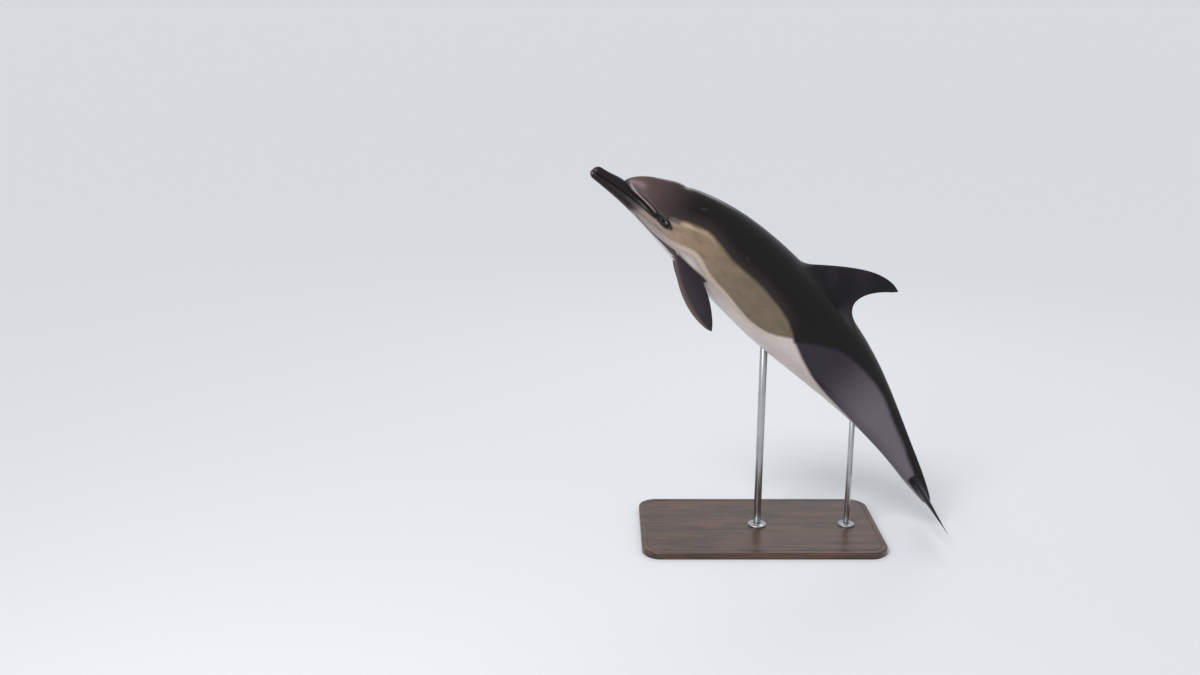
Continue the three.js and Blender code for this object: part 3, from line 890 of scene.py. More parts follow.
@dataclass
class Skin:
    """The whole skin: body, fins and lids in one closed mesh."""

    form: BodyForm = field(default_factory=BodyForm)
    grid: SkinGrid = field(default_factory=SkinGrid)
    socket: EyeSocket = field(default_factory=EyeSocket)
    root_trials: int = 49
    hole_margin: float = 1.5  # of the fillet, round a fin's root
    tail_margin: float = 0.0012  # stations kept behind the flukes' holes
    fin_rings: int = 30
    fin_step: float = 0.02  # share over which a fin's own direction is measured
    fin_end: float = 0.9985  # share of a fin at which its last ring stands
    fin_crowding: float = 1.6  # over 1 crowds the rings towards the tip
    fillet_rings: int = 7
    fillet_pull: float = 1.15  # how far the fillet keeps each end's direction
    ease_spread: int = 3
    ease_rounds: int = 14
    ease_share: float = 0.5
    dorsal_station: float = 0.435
    dorsal_slope: float = 41.6
    flipper_station: float = 0.2245
    flipper_pose: Triple = (128.0, 62.6, 20.0)  # degrees: place round the body, swing and splay
    fluke_slope_station: float = 0.96
    dorsal: Blade = blade(
        leading=((0, 0), (145, 108), (262, 217), (392, 177)),
        trailing=((286, 0), (262, 50), (304, 120), (392, 177)),
        root_thickness=36, tip_thickness=5, fillet=36, tip_cut=0.036, tip_round=0.1,
    )
    flipper: Blade = blade(
        leading=((0, 0), (-40, 85), (-75, 230), (0, 350)),
        trailing=((56, 0), (36, 80), (95, 170), (0, 350)),
        root_thickness=30, tip_thickness=4, fillet=13, nose=0.25,
    )
    fluke: Blade = blade(
        leading=((-178, 0), (-130, 95), (-40, 200), (38, 246)),
        trailing=((-6, 0), (34, 60), (-16, 170), (38, 246)),
        root_thickness=30, tip_thickness=4, fillet=9, nose=0.12,
    )

    def __post_init__(self) -> None:
        """Stands the fins on the body."""
        form = self.form
        self.relief = Relief(form)
        left = np.array([0.0, -1.0, 0.0])
        aft, up = heading(np.radians(self.dorsal_slope))
        self.dorsal.stand(form.point(self.dorsal_station, 0.0), aft, up, left)
        turn, swing, splay = np.radians(self.flipper_pose)
        forward, chord = heading(swing)
        out = forward * math.cos(splay) + left * math.sin(splay)
        self.flipper.stand(form.point(self.flipper_station, turn), chord, out, left)
        aft, up = form.directions(np.array(self.fluke_slope_station))
        self.fluke.stand(form.place(np.array(1.0)), aft, left, -up)

    def make(self, ball: Array, radius: float) -> tuple[Array, Faces, dict[str, Array]]:
        """Makes the skin's mesh.

        Args:
            ball: Centre of the left eyeball, in millimetres.
            radius: Radius of the eyeball.

        Returns:
            The points in millimetres, the faces and the marking fields.
        """
        shell = Shell()
        stations, turns = self.grid.lay_out(self.form)
        points = self.relief.point(stations, turns).reshape(-1, 3)
        index = shell.add(points, station=stations.ravel(), turn=turns.ravel()).reshape(turns.shape)
        lattice = Lattice(index, stations, turns)
        seam = [index[:, 0], index[:, -1]]
        for blade, half in ((self.dorsal, True), (self.flipper, False), (self.fluke, False)):
            seam.append(self.grow_fin(shell, lattice, blade, half))
        place = np.array([self.relief.eye_place[0], math.radians(self.relief.eye_place[1])])
        reach = self.socket.block / np.array([self.form.length, self.form.reach(*place)])
        loop, _ = lattice.open(place - reach, place + reach, False)
        self.socket.build(shell, self.relief, loop, ball, radius)
        for r, c in zip(*np.nonzero(lattice.kept)):
            shell.faces.append((index[r, c], index[r, c + 1], index[r + 1, c + 1], index[r + 1, c]))
        for end, ring in ((0.0, index[0][::-1]), (1.0, index[-1])):
            pole = shell.add(self.form.place(np.array([end])), station=end)
            seam.append(pole)
            shell.fan(ring, int(pole[0]), False)
        return self.mirror(shell, np.concatenate(seam))

    def grow_fin(self, shell: Shell, lattice: Lattice, blade: Blade, half: bool) -> Array:
        """Grows a fin out of the body with a fillet at its root.

        Args:
            shell: The half skin to add to.
            lattice: The body's points, in which a hole is opened.
            blade: The fin.
            half: Whether it stands on the back's midline, so that this half of it is open.

        Returns:
            Indices of the points that lie on the midline.
        """
        form = self.form
        trial = np.linspace(0, 0.5 if half else 1, self.root_trials)
        station, turn, _ = form.locate(blade.point(blade.root_shares(form, trial), trial))
        margin = blade.fillet * self.hole_margin
        girth = form.reach(np.array(station.mean()), np.array(turn.mean()))
        low = station.min() - margin / form.length, turn.min() - margin / girth
        high = min(station.max() + margin / form.length, 1 - self.tail_margin), turn.max() + margin / girth
        if half:
            low = low[0], 0.0
        loop, last_column = lattice.open(low, high, half)
        edge = np.concatenate(shell.points)[loop]
        values = {name: np.concatenate(shell.fields[name])[loop] for name in ("station", "turn")}
        count = len(loop)
        if half:
            blade.nose = last_column / (count - 1)
        around = np.arange(count) / (2 * (count - 1)) if half else self.best_start(blade, edge, count)
        shares = blade.root_shares(form, around)
        root = blade.point(shares, around)
        rise = unit(blade.point(shares + self.fin_step, around) - root)
        normal = form.normal(values["station"], values["turn"])
        leave = root - edge
        leave = unit(leave - (leave * normal).sum(-1)[:, None] * normal)
        span = np.linalg.norm(root - edge, axis=-1)[:, None]
        ring, midline = loop, []
        values["chord"] = blade.chord_share(around)
        pull = span * self.fillet_pull
        for k in range(1, self.fillet_rings + 1):
            t = k / self.fillet_rings
            points = hermite(t, edge, pull * leave, root, pull * rise)
            ring = shell.grow(ring, points, not half, fin=t, **values)
            midline += [int(ring[0]), int(ring[-1])]
        for k in range(1, self.fin_rings + 1):
            t = k / self.fin_rings
            share = shares + (self.fin_end - shares) * (1 - (1 - t) ** self.fin_crowding)
            ring = shell.grow(ring, blade.point(share, around), not half, fin=1, **values)
            midline += [int(ring[0]), int(ring[-1])]
        tip = blade.point(np.array([1.0]), np.array([0.0]))
        middle = {name: value.mean() for name, value in values.items()}
        pole = shell.add(tip, fin=1, **middle)
        shell.fan(ring, int(pole[0]), not half)
        return np.array(midline + [int(pole[0])]) if half else np.array([], int)

    def best_start(self, blade: Blade, edge: Array, count: int) -> Array:
        """Shares of the way round a fin that twist its root least.

        Args:
            blade: The fin, whose first face is turned over where it would wind the wrong way.
            edge: Points of the hole's edge.
            count: How many there are.

        Returns:
            A share for each point of the edge.
        """
        around = np.arange(count) / count
        loop = blade.point(np.full(count, 0.1), around)

        def area(ring: Array) -> Array:
            """The area vector of a closed ring."""
            centred = ring - ring.mean(0)
            return np.cross(centred, np.roll(centred, -1, 0)).sum(0)

        if area(edge) @ area(loop) < 0:
            blade.across = -blade.across
            loop = blade.point(np.full(count, 0.1), around)
        centred = edge - edge.mean(0)
        loop = loop - loop.mean(0)
        cost = [((centred - np.roll(loop, k, 0)) ** 2).sum() for k in range(count)]
        return np.roll(around, int(np.argmin(cost)))

    def mirror(self, shell: Shell, seam: Array) -> tuple[Array, Faces, dict[str, Array]]:
        """Joins the left half and its mirror image along the midline.

        Args:
            shell: The left half.
            seam: Indices of its points on the midline.

        Returns:
            The points, faces and fields of the whole, without points that no face uses.
        """
        points = np.concatenate(shell.points)
        points[seam, 1] = 0.0
        total = len(points)
        twin = np.arange(total) + total
        twin[seam] = seam
        faces = list(shell.faces)
        faces += [tuple(int(twin[i]) for i in reversed(face)) for face in shell.faces]
        both = np.vstack([points, points * [1, -1, 1]])
        used = np.zeros(2 * total, bool)
        used[np.fromiter((i for face in faces for i in face), int)] = True
        renumber = np.cumsum(used) - 1
        faces = [tuple(int(renumber[i]) for i in face) for face in faces]
        fields = {}
        for name, store in shell.fields.items():
            values = np.concatenate(store)
            fields[name] = np.concatenate([values, values])[used]
        return self.relax(both[used], faces, fields["fin"]), faces, fields

    def relax(self, points: Array, faces: Faces, fin: Array) -> Array:
        """Eases the fins' roots, where the rings of the fins and the rows of the body meet.

        Args:
            points: The skin's points.
            faces: Its faces.
            fin: How far each point belongs to a fin.

        Returns:
            The points, eased.
        """
        pairs = np.array([(face[i], face[i - 1]) for face in faces for i in range(len(face))])
        pairs = np.vstack([pairs, pairs[:, ::-1]])
        degree = np.bincount(pairs[:, 0], minlength=len(points))

        def around(values: Array) -> Array:
            """The mean of each point's neighbours."""
            columns = [np.bincount(pairs[:, 0], column, len(points)) for column in values[pairs[:, 1]].T]
            return np.stack(columns, -1) / degree[:, None]

        ease = ((fin > 0.01) & (fin < 0.999)).astype(float)[:, None]
        for _ in range(self.ease_spread):
            ease = np.maximum(ease, around(ease))
        ease = around(ease)
        for _ in range(self.ease_rounds):
            points = points + (around(points) - points) * ease * self.ease_share
        return points


# ---- Markings ----


@dataclass
class Markings:
    """A common dolphin's colours: distances in millimetres from each patch's edge, positive inside."""

    relief: Relief
    cape_ahead: SmoothCurve = curve(
        (0.1, 60), (0.13, 69), (0.15, 75), (0.165, 72), (0.179, 64), (0.192, 56), (0.2122, 51.8),
        (0.2427, 49.1), (0.265, 53), (0.3054, 62.7), (0.3408, 66.4), (0.3862, 67.6), (0.4258, 71.8),
        (0.4629, 77.3), (0.4951, 87.2), (0.511, 96.5),
    )
    cape_behind: SmoothCurve = curve(
        (0.511, 96.5), (0.5792, 58.7), (0.6419, 40.4), (0.7, 30), (0.8, 26), (0.9, 45), (0.97, 95)
    )
    pale_ahead: SmoothCurve = curve(
        (0.08, 118), (0.12, 112), (0.1602, 104.2), (0.1998, 100.3), (0.2287, 92.1), (0.2526, 88.9),
        (0.279, 96.8), (0.3111, 104.7), (0.3441, 108.2), (0.3755, 113.9), (0.4266, 118.6), (0.4728, 109.9),
        (0.505, 95),
    )
    pale_behind: SmoothCurve = curve(
        (0.505, 95), (0.53, 104), (0.58, 122), (0.66, 146), (0.74, 166), (0.8, 184)
    )
    stripe: SmoothCurve = curve(
        (0.085, 108), (0.1148, 117), (0.1478, 129.7), (0.1775, 126), (0.2023, 122.3), (0.2196, 121),
        (0.24, 121),
    )
    stripe_breadth: SmoothCurve = curve(
        (0.085, -6), (0.105, 0.5), (0.13, 4), (0.17, 8), (0.2, 14), (0.224, 22), (0.238, 18), (0.255, -12)
    )
    eye_patch: Pair = (0.161, 77.0)
    eye_patch_length: float = 52.0
    eye_patch_half: Knots = ((-60, 6), (-30, 10), (5, 15), (30, 17), (50, 14))  # half-height, by place aft
    eye_patch_tilt: float = 0.1
    bridle: Pair = (3.4, -2.5)  # half-breadth, and distance from the crease, positive on the forehead
    bridle_stations: Pair = (0.07, 0.15)
    bridle_turns: Pair = (20.0, 82.0)
    lips: Pair = (1.6, 0.002)  # half-breadth of the dark line, and stations it runs on past the gape
    sharp_end: float = 400.0  # millimetres for a whole station: lets a marking end within a short way
    jaw_fade: float = 0.122  # station where the lower jaw's dark part ends at the lips
    jaw_slant: float = 0.9  # how far that edge lies ahead, for each millimetre below the lips
    jaw_softness: float = 0.26  # below 1 widens the edge
    chin_turn: float = 152.0  # degrees: below it the chin is pale
    chin_start: float = 0.03  # station ahead of which it is dark all round
    flippers_end: float = 0.3  # station ahead of which a fin is a flipper
    outside: float = -60.0  # stands for far outside, in millimetres
    bridle_outside: float = -30.0

    def border(self, line: SmoothCurve, station: Array, turn: Array) -> Array:
        """Distance of places above a border line that runs along the body.

        Args:
            line: Turn of the border in degrees, by station.
            station: Stations of the places.
            turn: Their turns, in radians.

        Returns:
            Distances in millimetres, positive towards the back.
        """
        form = self.relief.form
        step = 0.002
        line_turn = np.radians(line(station))
        girth = form.reach(station, turn)
        climb = np.radians(line(station + step) - line(station - step)) / (2 * step * form.length)
        return (line_turn - turn) * girth / np.sqrt(1 + (climb * girth) ** 2)

    def borders(self, ahead: SmoothCurve, behind: SmoothCurve, station: Array, turn: Array) -> Array:
        """Distance above a border of two lines, the second of which takes over where the first one ends."""
        first, second = (self.border(line, station, turn) for line in (ahead, behind))
        return np.where(station < ahead.places[-1], first, second)

    def fields(self, station: Array, turn: Array, fin: Array, chord: Array) -> dict[str, Array]:
        """Works out every marking field.

        Args:
            station: Stations of the skin's points.
            turn: Their turns, in radians.
            fin: How far each belongs to a fin.
            chord: Its place on the fin's chord.

        Returns:
            Values by the field's name.
        """
        form = self.relief.form
        return {
            "cape": self.borders(self.cape_ahead, self.cape_behind, station, turn),
            "pale": -self.borders(self.pale_ahead, self.pale_behind, station, turn),
            "aft": (station - self.pale_ahead.places[-1]) * form.length,
            "off_stripe": self.border(self.stripe, station, turn),
            "stripe_breadth": self.stripe_breadth(station),
            "eye_patch": self.eye_patch_field(station, turn),
            "beak": self.beak_field(station, turn),
            "along": station * form.length,
            "round": np.degrees(turn),
            "fin": fin,
            "edge": np.where(station < self.flippers_end, 1 - chord, 0.0),
        }

    def eye_patch_field(self, station: Array, turn: Array) -> Array:
        """The dark teardrop round the eye, the bridle ahead of it along the crease, and the mouth's line.

        Args:
            station: Stations of the places.
            turn: Their turns, in radians.

        Returns:
            Distances in millimetres, positive inside.
        """
        form = self.relief.form
        aft, up = self.relief.flat(station, turn, self.eye_patch)
        half = np.interp(aft, *np.transpose(self.eye_patch_half))
        tilted = up + self.eye_patch_tilt * aft
        patch = (1 - np.hypot(aft / self.eye_patch_length, tilted / half)) * half
        bridle = self.bridle[0] - np.abs(self.relief.crease_distance(station, turn) - self.bridle[1])
        (front, rear), (above, below) = self.bridle_stations, np.radians(self.bridle_turns)
        shown = (station > front) & (station < rear) & (turn > above) & (turn < below)
        over_mouth = form.over_mouth(station, turn)
        past = np.maximum(station - form.gape - self.lips[1], 0)
        mouth = self.lips[0] - np.abs(over_mouth) - self.sharp_end * past
        return np.maximum(np.maximum(patch, np.where(shown, bridle, self.bridle_outside)), mouth)

    def beak_field(self, station: Array, turn: Array) -> Array:
        """The dark beak: the upper jaw up to the crease, and the lower jaw up to a slanting edge.

        Args:
            station: Stations of the places.
            turn: Their turns, in radians.

        Returns:
            Distances in millimetres, positive inside.
        """
        form = self.relief.form
        over_mouth = form.over_mouth(station, turn)
        upper = np.minimum(-self.relief.crease_distance(station, turn), over_mouth + 1.0)
        upper = np.minimum(upper, (form.gape - station) * form.length)
        lower = (self.jaw_fade - station) * form.length + over_mouth * self.jaw_slant
        chin = (np.radians(self.chin_turn) - turn) * form.belly(station)
        chin += self.sharp_end * np.maximum(self.chin_start - station, 0)
        lower = np.minimum(lower * self.jaw_softness, chin)
        upper = np.where(over_mouth > -1.0, upper, self.outside)
        return np.maximum(upper, np.where(over_mouth <= 0.5, lower, self.outside))


# ---- Finishes ----


def tone(red: float, green: float, blue: float) -> tuple[float, float, float, float]:
    """A colour as it looks on a screen, from 0 to 255, as the linear colour that a shader takes."""
    linear = [((v / 255 + 0.055) / 1.055) ** 2.4 if v > 10 else v / 255 / 12.92 for v in (red, green, blue)]
    return linear[0], linear[1], linear[2], 1.0


Socket = bpy.types.NodeSocket
Input = Union[Socket, float, Sequence[float]]
MIX_IN = (6, 7)  # places of a Mix node's colour inputs
MIX_OUT = 2  # place of its colour output


class Nodes:
    """Adds nodes to a tree."""

    def __init__(self, tree: bpy.types.NodeTree) -> None:
        """Takes the tree to add to."""
        self.tree = tree

    def node(self, kind: str, inputs: dict[Union[str, int], Input], **settings: object) -> bpy.types.Node:
        """Adds a node.

        Args:
            kind: Its type.
            inputs: Values of its inputs, or the sockets that feed them, by name or place.
            **settings: Properties to set on it.

        Returns:
            The node.
        """
        made = self.tree.nodes.new(kind)
        for name, value in settings.items():
            setattr(made, name, value)
        for key, value in inputs.items():
            if isinstance(value, bpy.types.NodeSocket):
                self.tree.links.new(value, made.inputs[key])
            else:
                made.inputs[key].default_value = value
        return made

    def maths(self, operation: str, *values: Input) -> Socket:
        """The result of an operation on numbers."""
        return self.node("ShaderNodeMath", dict(enumerate(values)), operation=operation).outputs["Value"]

    def product(self, first: Input, *others: Input) -> Socket:
        """Multiplies shares, for what shows only where all of them do.

        Args:
            first: The first share.
            *others: The others.

        Returns:
            Their product.
        """
        for other in others:
            first = self.maths("MULTIPLY", first, other)
        return first

    def blend(self, share: Input, one: Input, other: Input) -> Socket:
        """Mixes a share of the other colour into the one."""
        inputs = {"Factor": share, MIX_IN[0]: one, MIX_IN[1]: other}
        return self.node("ShaderNodeMix", inputs, data_type="RGBA").outputs[MIX_OUT]


class Palette(Nodes):
    """Builds one material's nodes."""

    streak: Pair = (75.0, 14.0)  # a streak's length in millimetres, and its breadth in degrees
    side_gap: float = 9.0  # keeps the streaks of the body's two sides apart

    def __init__(self, name: str) -> None:
        """Starts a material of this name with an empty tree.

        Args:
            name: The material's name.
        """
        self.material = bpy.data.materials.new(name)
        self.material.use_nodes = True
        super().__init__(self.material.node_tree)
        self.tree.nodes.clear()

    def attribute(self, name: str) -> Socket:
        """The value of a field that the mesh carries."""
        return self.node("ShaderNodeAttribute", {}, attribute_name=name).outputs["Fac"]

    def place(self, scale: Triple = (1, 1, 1)) -> Socket:
        """The point on the object, scaled along each axis.

        Args:
            scale: Scale along each axis.

        Returns:
            The scaled point.
        """
        point, sizes = self.node("ShaderNodeTexCoord", {}).outputs["Object"], [1 / s for s in scale]
        inputs = {"Vector": point, "Scale": sizes}
        return self.node("ShaderNodeMapping", inputs, vector_type="TEXTURE").outputs["Vector"]

    def noise(self, vector: Socket, scale: float, detail: float = 3.0, roughness: float = 0.5) -> Socket:
        """Noise about 0.5. The detail is its octaves, and the roughness the strength of the finer ones."""
        inputs = {"Vector": vector, "Scale": scale, "Detail": detail, "Roughness": roughness}
        return self.node("ShaderNodeTexNoise", inputs).outputs["Fac"]

    def fade(self, value: Input, low: float, high: float, start: float = 0.0, end: float = 1.0) -> Socket:
        """Grades a value smoothly, from start where it is low to end where it is high."""
        inputs = {"Value": value, "From Min": low, "From Max": high, "To Min": start, "To Max": end}
        return self.node("ShaderNodeMapRange", inputs, interpolation_type="SMOOTHSTEP").outputs["Result"]

    def line(self, name: str, middle: float, outer: float, inner: float, strength: float) -> Socket:
        """A line along a value of a field: full strength within inner of it, and gone at outer."""
        off = self.maths("ABSOLUTE", self.maths("SUBTRACT", self.attribute(name), middle))
        return self.fade(off, outer, inner, 0.0, strength)

    def unrolled(self, along: Socket, turn: Socket) -> Socket:
        """A place on the body's surface rolled flat, for streaks that follow the body.

        Args:
            along: Distance along the body.
            turn: Turn round it.

        Returns:
            The vector.
        """
        sides = self.node("ShaderNodeSeparateXYZ", {"Vector": self.place()})
        inputs = {
            "X": self.product(along, 1 / self.streak[0]),
            "Y": self.product(turn, 1 / self.streak[1]),
            "Z": self.product(self.maths("SIGN", sides.outputs["Y"]), self.side_gap),
        }
        return self.node("ShaderNodeCombineXYZ", inputs).outputs["Vector"]

    def spot(self, along: Socket, turn: Socket, centre: Pair, reach: Pair, strength: float) -> Socket:
        """A soft round spot on the body.

        Args:
            along: Distance along the body.
            turn: Turn round it.
            centre: The spot's place.
            reach: How far it reaches along and round.
            strength: Its strength in the middle.

        Returns:
            The strength at each place.
        """
        square = 0.0
        for place, middle, far in zip((along, turn), centre, reach):
            off = self.maths("DIVIDE", self.maths("SUBTRACT", place, middle), far)
            square = self.maths("MULTIPLY_ADD", off, off, square)
        return self.fade(square, 1.0, 0.0, 0.0, strength)

    def bump(self, height: Input, distance: float, strength: float, **below: Socket) -> Socket:
        """A surface bumped by a pattern to this depth in metres, over the Normal given last."""
        inputs = {"Height": height, "Distance": distance, "Strength": strength, **below}
        return self.node("ShaderNodeBump", inputs).outputs["Normal"]

    def finish(self, **inputs: Input) -> bpy.types.Material:
        """Ends the tree in a Principled shader.

        Args:
            **inputs: Values or links of its sockets, with _ for a space.

        Returns:
            The material.
        """
        named = {name.replace("_", " "): value for name, value in inputs.items()}
        shader = self.node("ShaderNodeBsdfPrincipled", named)
        self.node("ShaderNodeOutputMaterial", {"Surface": shader.outputs["BSDF"]})
        return self.material


@dataclass(frozen=True)
class SkinFinish:
    """Wet, smooth skin in the colours of a common dolphin, with painted sunlight and highlights on the head
    and along the buff patch, and painted shade on the rear flank and the belly's border.
    """

    cape: tuple = tone(18, 14, 15)
    cape_border: tuple = tone(48, 39, 37)
    # painted sunlight: the head a lighter brown than the cape
    sunlit_melon: tuple = tone(82, 63, 63)
    # painted highlight on the upper front of the melon
    melon_front_highlight: tuple = tone(108, 84, 82)
    beak: tuple = tone(27, 20, 23)
    beak_rear: tuple = tone(108, 94, 90)
    # a pale line on the forehead's edge along the crease, partly a painted highlight on the fold
    brow_line_and_highlight: tuple = tone(158, 143, 145)
    snout_spot: tuple = tone(120, 104, 104)
    tan_front: tuple = tone(152, 127, 103)
    tan_middle: tuple = tone(133, 113, 94)
    tan_rear: tuple = tone(114, 101, 84)
    tan_streak: tuple = tone(92, 80, 62)
    cheek: tuple = tone(134, 120, 112)
    haze: tuple = tone(92, 83, 85)
    pale: tuple = tone(206, 194, 190)
    pale_mottle: tuple = tone(186, 170, 168)
    # a greyish blush with painted shade, for the belly's upper border
    belly_blush_and_shade: tuple = tone(136, 126, 126)
    # a pale cream line, brightened with painted highlight along the buff patch's lower edge
    cream_and_highlight: tuple = tone(188, 167, 144)
    # darker than the patch's own light grey: painted shade
    shaded_flank_grey: tuple = tone(46, 41, 50)
    stock_grey: tuple = tone(104, 98, 106)
    eye_dark: tuple = tone(13, 9, 10)
    stripe: tuple = tone(38, 30, 33)
    flipper: tuple = tone(30, 24, 29)
    flipper_middle: tuple = tone(43, 33, 41)
    flipper_edge: tuple = tone(94, 78, 74)
    fin_dark: tuple = tone(19, 16, 18)
    fin_mottle: tuple = tone(40, 35, 39)
    scratch: tuple = tone(112, 104, 104)
    speck: tuple = tone(20, 17, 18)
    roughness: Pair = (0.2, 0.36)

    def edge(self, p: Palette, name: str, wander: Socket, soft: float, shift: float = 0.0) -> Socket:
        """The share of a marking field, with an edge of this half-width, shifted inwards, that wanders."""
        moved = p.maths("MULTIPLY_ADD", wander, 2.2 * soft, p.attribute(name))
        return p.fade(moved, shift + 0.1 * soft, shift + 2.1 * soft)

    def flank(self, p: Palette, streaks: Socket) -> Socket:
        """The buff patch ahead of the crossing: warmer to the front, streaked along the body.

        Args:
            p: The material's palette.
            streaks: Noise drawn out along the body.

        Returns:
            Its colour.
        """
        along = p.attribute("along")
        body = p.blend(p.fade(along, 390, 480), self.tan_front, self.tan_middle)
        body = p.blend(p.fade(along, 510, 760), body, self.tan_rear)
        body = p.blend(p.fade(along, 450, 330), body, self.cheek)
        rim = p.line("cape", -14.0, 13, 3, 0.5)
        body = p.blend(p.product(rim, p.fade(along, 600, 480), p.fade(along, 380, 430)), body, self.cream_and_highlight)
        return p.blend(p.fade(streaks, 0.4, 0.7, 0.0, 0.45), body, self.tan_streak)

    def rear(self, p: Palette) -> Socket:
        """The grey of the flank behind the crossing, darkened with painted shade, and paler along the tail
        stock.
        """
        # painted shade on the rear flank, giving way to the paler grey of the tail stock
        return p.blend(p.fade(p.attribute("along"), 1250, 1600), self.shaded_flank_grey, self.stock_grey)

    def underside(self, p: Palette, fine: Socket) -> Socket:
        """The pale belly, greyer along its upper border ahead of the flipper: partly a greyish blush, partly
        painted shade.

        Args:
            p: The material's palette.
            fine: Fine noise.

        Returns:
            Its colour.
        """
        body = p.blend(p.fade(fine, 0.3, 0.75, 0.0, 0.4), self.pale, self.pale_mottle)
        # painted shade with a greyish blush along the belly's upper border, towards the head
        near, ahead = p.fade(p.attribute("pale"), 60, 10, 0.0, 0.85), p.fade(p.attribute("along"), 900, 560)
        return p.blend(p.product(near, ahead), body, self.belly_blush_and_shade)

    def back(self, p: Palette) -> Socket:
        """The dark cape, brownish along its border, with painted sunlight on the head: a lighter brown over
        the forehead and a painted highlight on the front of the melon.

        Args:
            p: The material's palette.

        Returns:
            Its colour.
        """
        along, turn = p.attribute("along"), p.attribute("round")
        # painted sunlight: the head fades from a lighter brown into the dark cape
        body = p.blend(p.fade(along, 440, 180), self.cape, self.sunlit_melon)
        # painted highlight on the upper front of the melon
        front = p.product(p.fade(turn, 64, 20), p.fade(along, 230, 130, 0.0, 0.6))
        body = p.blend(front, body, self.melon_front_highlight)
        near = p.product(p.fade(p.attribute("cape"), 55, 4, 0.0, 0.75), p.fade(along, 1100, 900))
        return p.blend(near, body, self.cape_border)

    def fins(self, p: Palette, wide: Socket) -> Socket:
        """The fins: near-black, the flippers purplish in the middle with a paler leading edge.

        Args:
            p: The material's palette.
            wide: Wide noise.

        Returns:
            Their colour.
        """
        edge = p.attribute("edge")
        middle = p.product(p.fade(edge, 0.25, 0.6), p.fade(wide, 0.35, 0.6))
        body = p.blend(middle, self.flipper, self.flipper_middle)
        body = p.blend(p.fade(edge, 0.72, 0.97, 0.0, 0.9), body, self.flipper_edge)
        # a lighter tone that differs at random over the fins
        dark = p.blend(p.fade(wide, 0.42, 0.68, 0.0, 0.7), self.fin_dark, self.fin_mottle)
        return p.blend(p.fade(p.attribute("along"), 600, 700), body, dark)

    def rakes(self, p: Palette, fine: Socket) -> Socket:
        """Healed tooth rakes: short parallel scratches on the neck and the side.

        Args:
            p: The material's palette.
            fine: Fine noise that breaks them up.

        Returns:
            How strongly each place is marked.
        """
        along, turn, marks = p.attribute("along"), p.attribute("round"), None
        for centre, lean, reach in (((451, 27), -6.2, 21), ((698, 51.5), 7.6, 17)):
            across = p.maths("MULTIPLY_ADD", p.maths("SUBTRACT", turn, centre[1]), lean, centre[0])
            offset = p.maths("ABSOLUTE", p.maths("SUBTRACT", along, across))
            ridge = p.fade(p.maths("PINGPONG", offset, 3.2), 1.2, 0.2)
            patch = p.spot(along, turn, centre, (reach, 4.2), 1.0)
            ridge = p.product(ridge, p.fade(offset, 9, 7.5), patch)
            marks = ridge if marks is None else p.maths("MAXIMUM", marks, ridge)
        return p.product(marks, p.fade(fine, 0.4, 0.6, 0.1, 0.6))

    def make(self) -> bpy.types.Material:
        """Builds the material.

        Returns:
            The material.
        """
        p = Palette("dolphin_skin")
        wide, fine = p.noise(p.place(), 7, 3), p.noise(p.place(), 42, 4, 0.6)
        wander = p.maths("MULTIPLY_ADD", fine, 0.4, p.product(wide, 0.6))
        along, turn, fin = p.attribute("along"), p.attribute("round"), p.attribute("fin")
        streaks = p.noise(p.unrolled(along, turn), 1.0, 3, 0.55)
        body = p.blend(self.edge(p, "aft", wander, 12), self.flank(p, streaks), self.rear(p))
        body = p.blend(self.edge(p, "pale", wander, 9, -4), body, self.underside(p, fine))
        # the pale line along the buff patch's lower edge: partly real, partly a painted highlight
        line = p.product(p.line("pale", 7.0, 15, 1, 0.7), p.fade(along, 1040, 900), p.fade(along, 340, 470))
        body = p.blend(line, body, self.cream_and_highlight)
        body = p.blend(self.edge(p, "cape", wander, 10, -3), body, self.back(p))
        body = p.blend(p.spot(along, turn, (384, 62), (34, 7.5), 0.75), body, self.haze)
        off = p.maths("ABSOLUTE", p.attribute("off_stripe"))
        reach = p.maths("MULTIPLY_ADD", wander, 4.0, p.maths("SUBTRACT", p.attribute("stripe_breadth"), off))
        body = p.blend(p.fade(reach, -1.5, 6.5, 0.0, 0.94), body, self.stripe)
        beak = p.blend(p.fade(along, 195, 262, 0.0, 0.9), self.beak, self.beak_rear)
        beak = p.blend(p.spot(along, turn, (0, 80), (20, 70), 0.8), beak, self.snout_spot)
        body = p.blend(self.edge(p, "beak", wander, 5, -2), body, beak)
        # pale line on the forehead's edge along the crease: partly real, partly a painted highlight on the
        # fold
        rim = p.product(p.line("beak", -5.0, 4.2, 1.5, 0.85), p.fade(turn, 14, 26), p.fade(turn, 79, 58))
        body = p.blend(rim, body, self.brow_line_and_highlight)
        body = p.blend(self.edge(p, "eye_patch", wander, 2.6, -1.5), body, self.eye_dark)
        body = p.blend(p.fade(fin, 0.08, 0.55), body, self.fins(p, wide))
        body = p.blend(self.rakes(p, fine), body, self.scratch)
        specks = p.fade(p.noise(p.place(), 160, 4, 0.65), 0.3, 0.7, 0.0, 0.1)
        body = p.blend(specks, body, self.speck)
        skin = p.bump(p.noise(p.place(), 700, 2, 0.5), 0.0001, 0.15)
        skin = p.bump(p.noise(p.place((1, 3, 1)), 26, 3, 0.5), 0.0012, 0.22, Normal=skin)
        rough = p.maths("ADD", p.fade(wander, 0.3, 0.7, *self.roughness), p.fade(fin, 0.0, 0.5, 0.0, 0.22))
        return p.finish(
            Base_Color=body,
            Roughness=p.maths("ADD", rough, p.fade(p.attribute("eye_patch"), 0, 4, 0.0, 0.15)),
            IOR=1.36,
            Specular_IOR_Level=0.35,
            Normal=skin,
        )


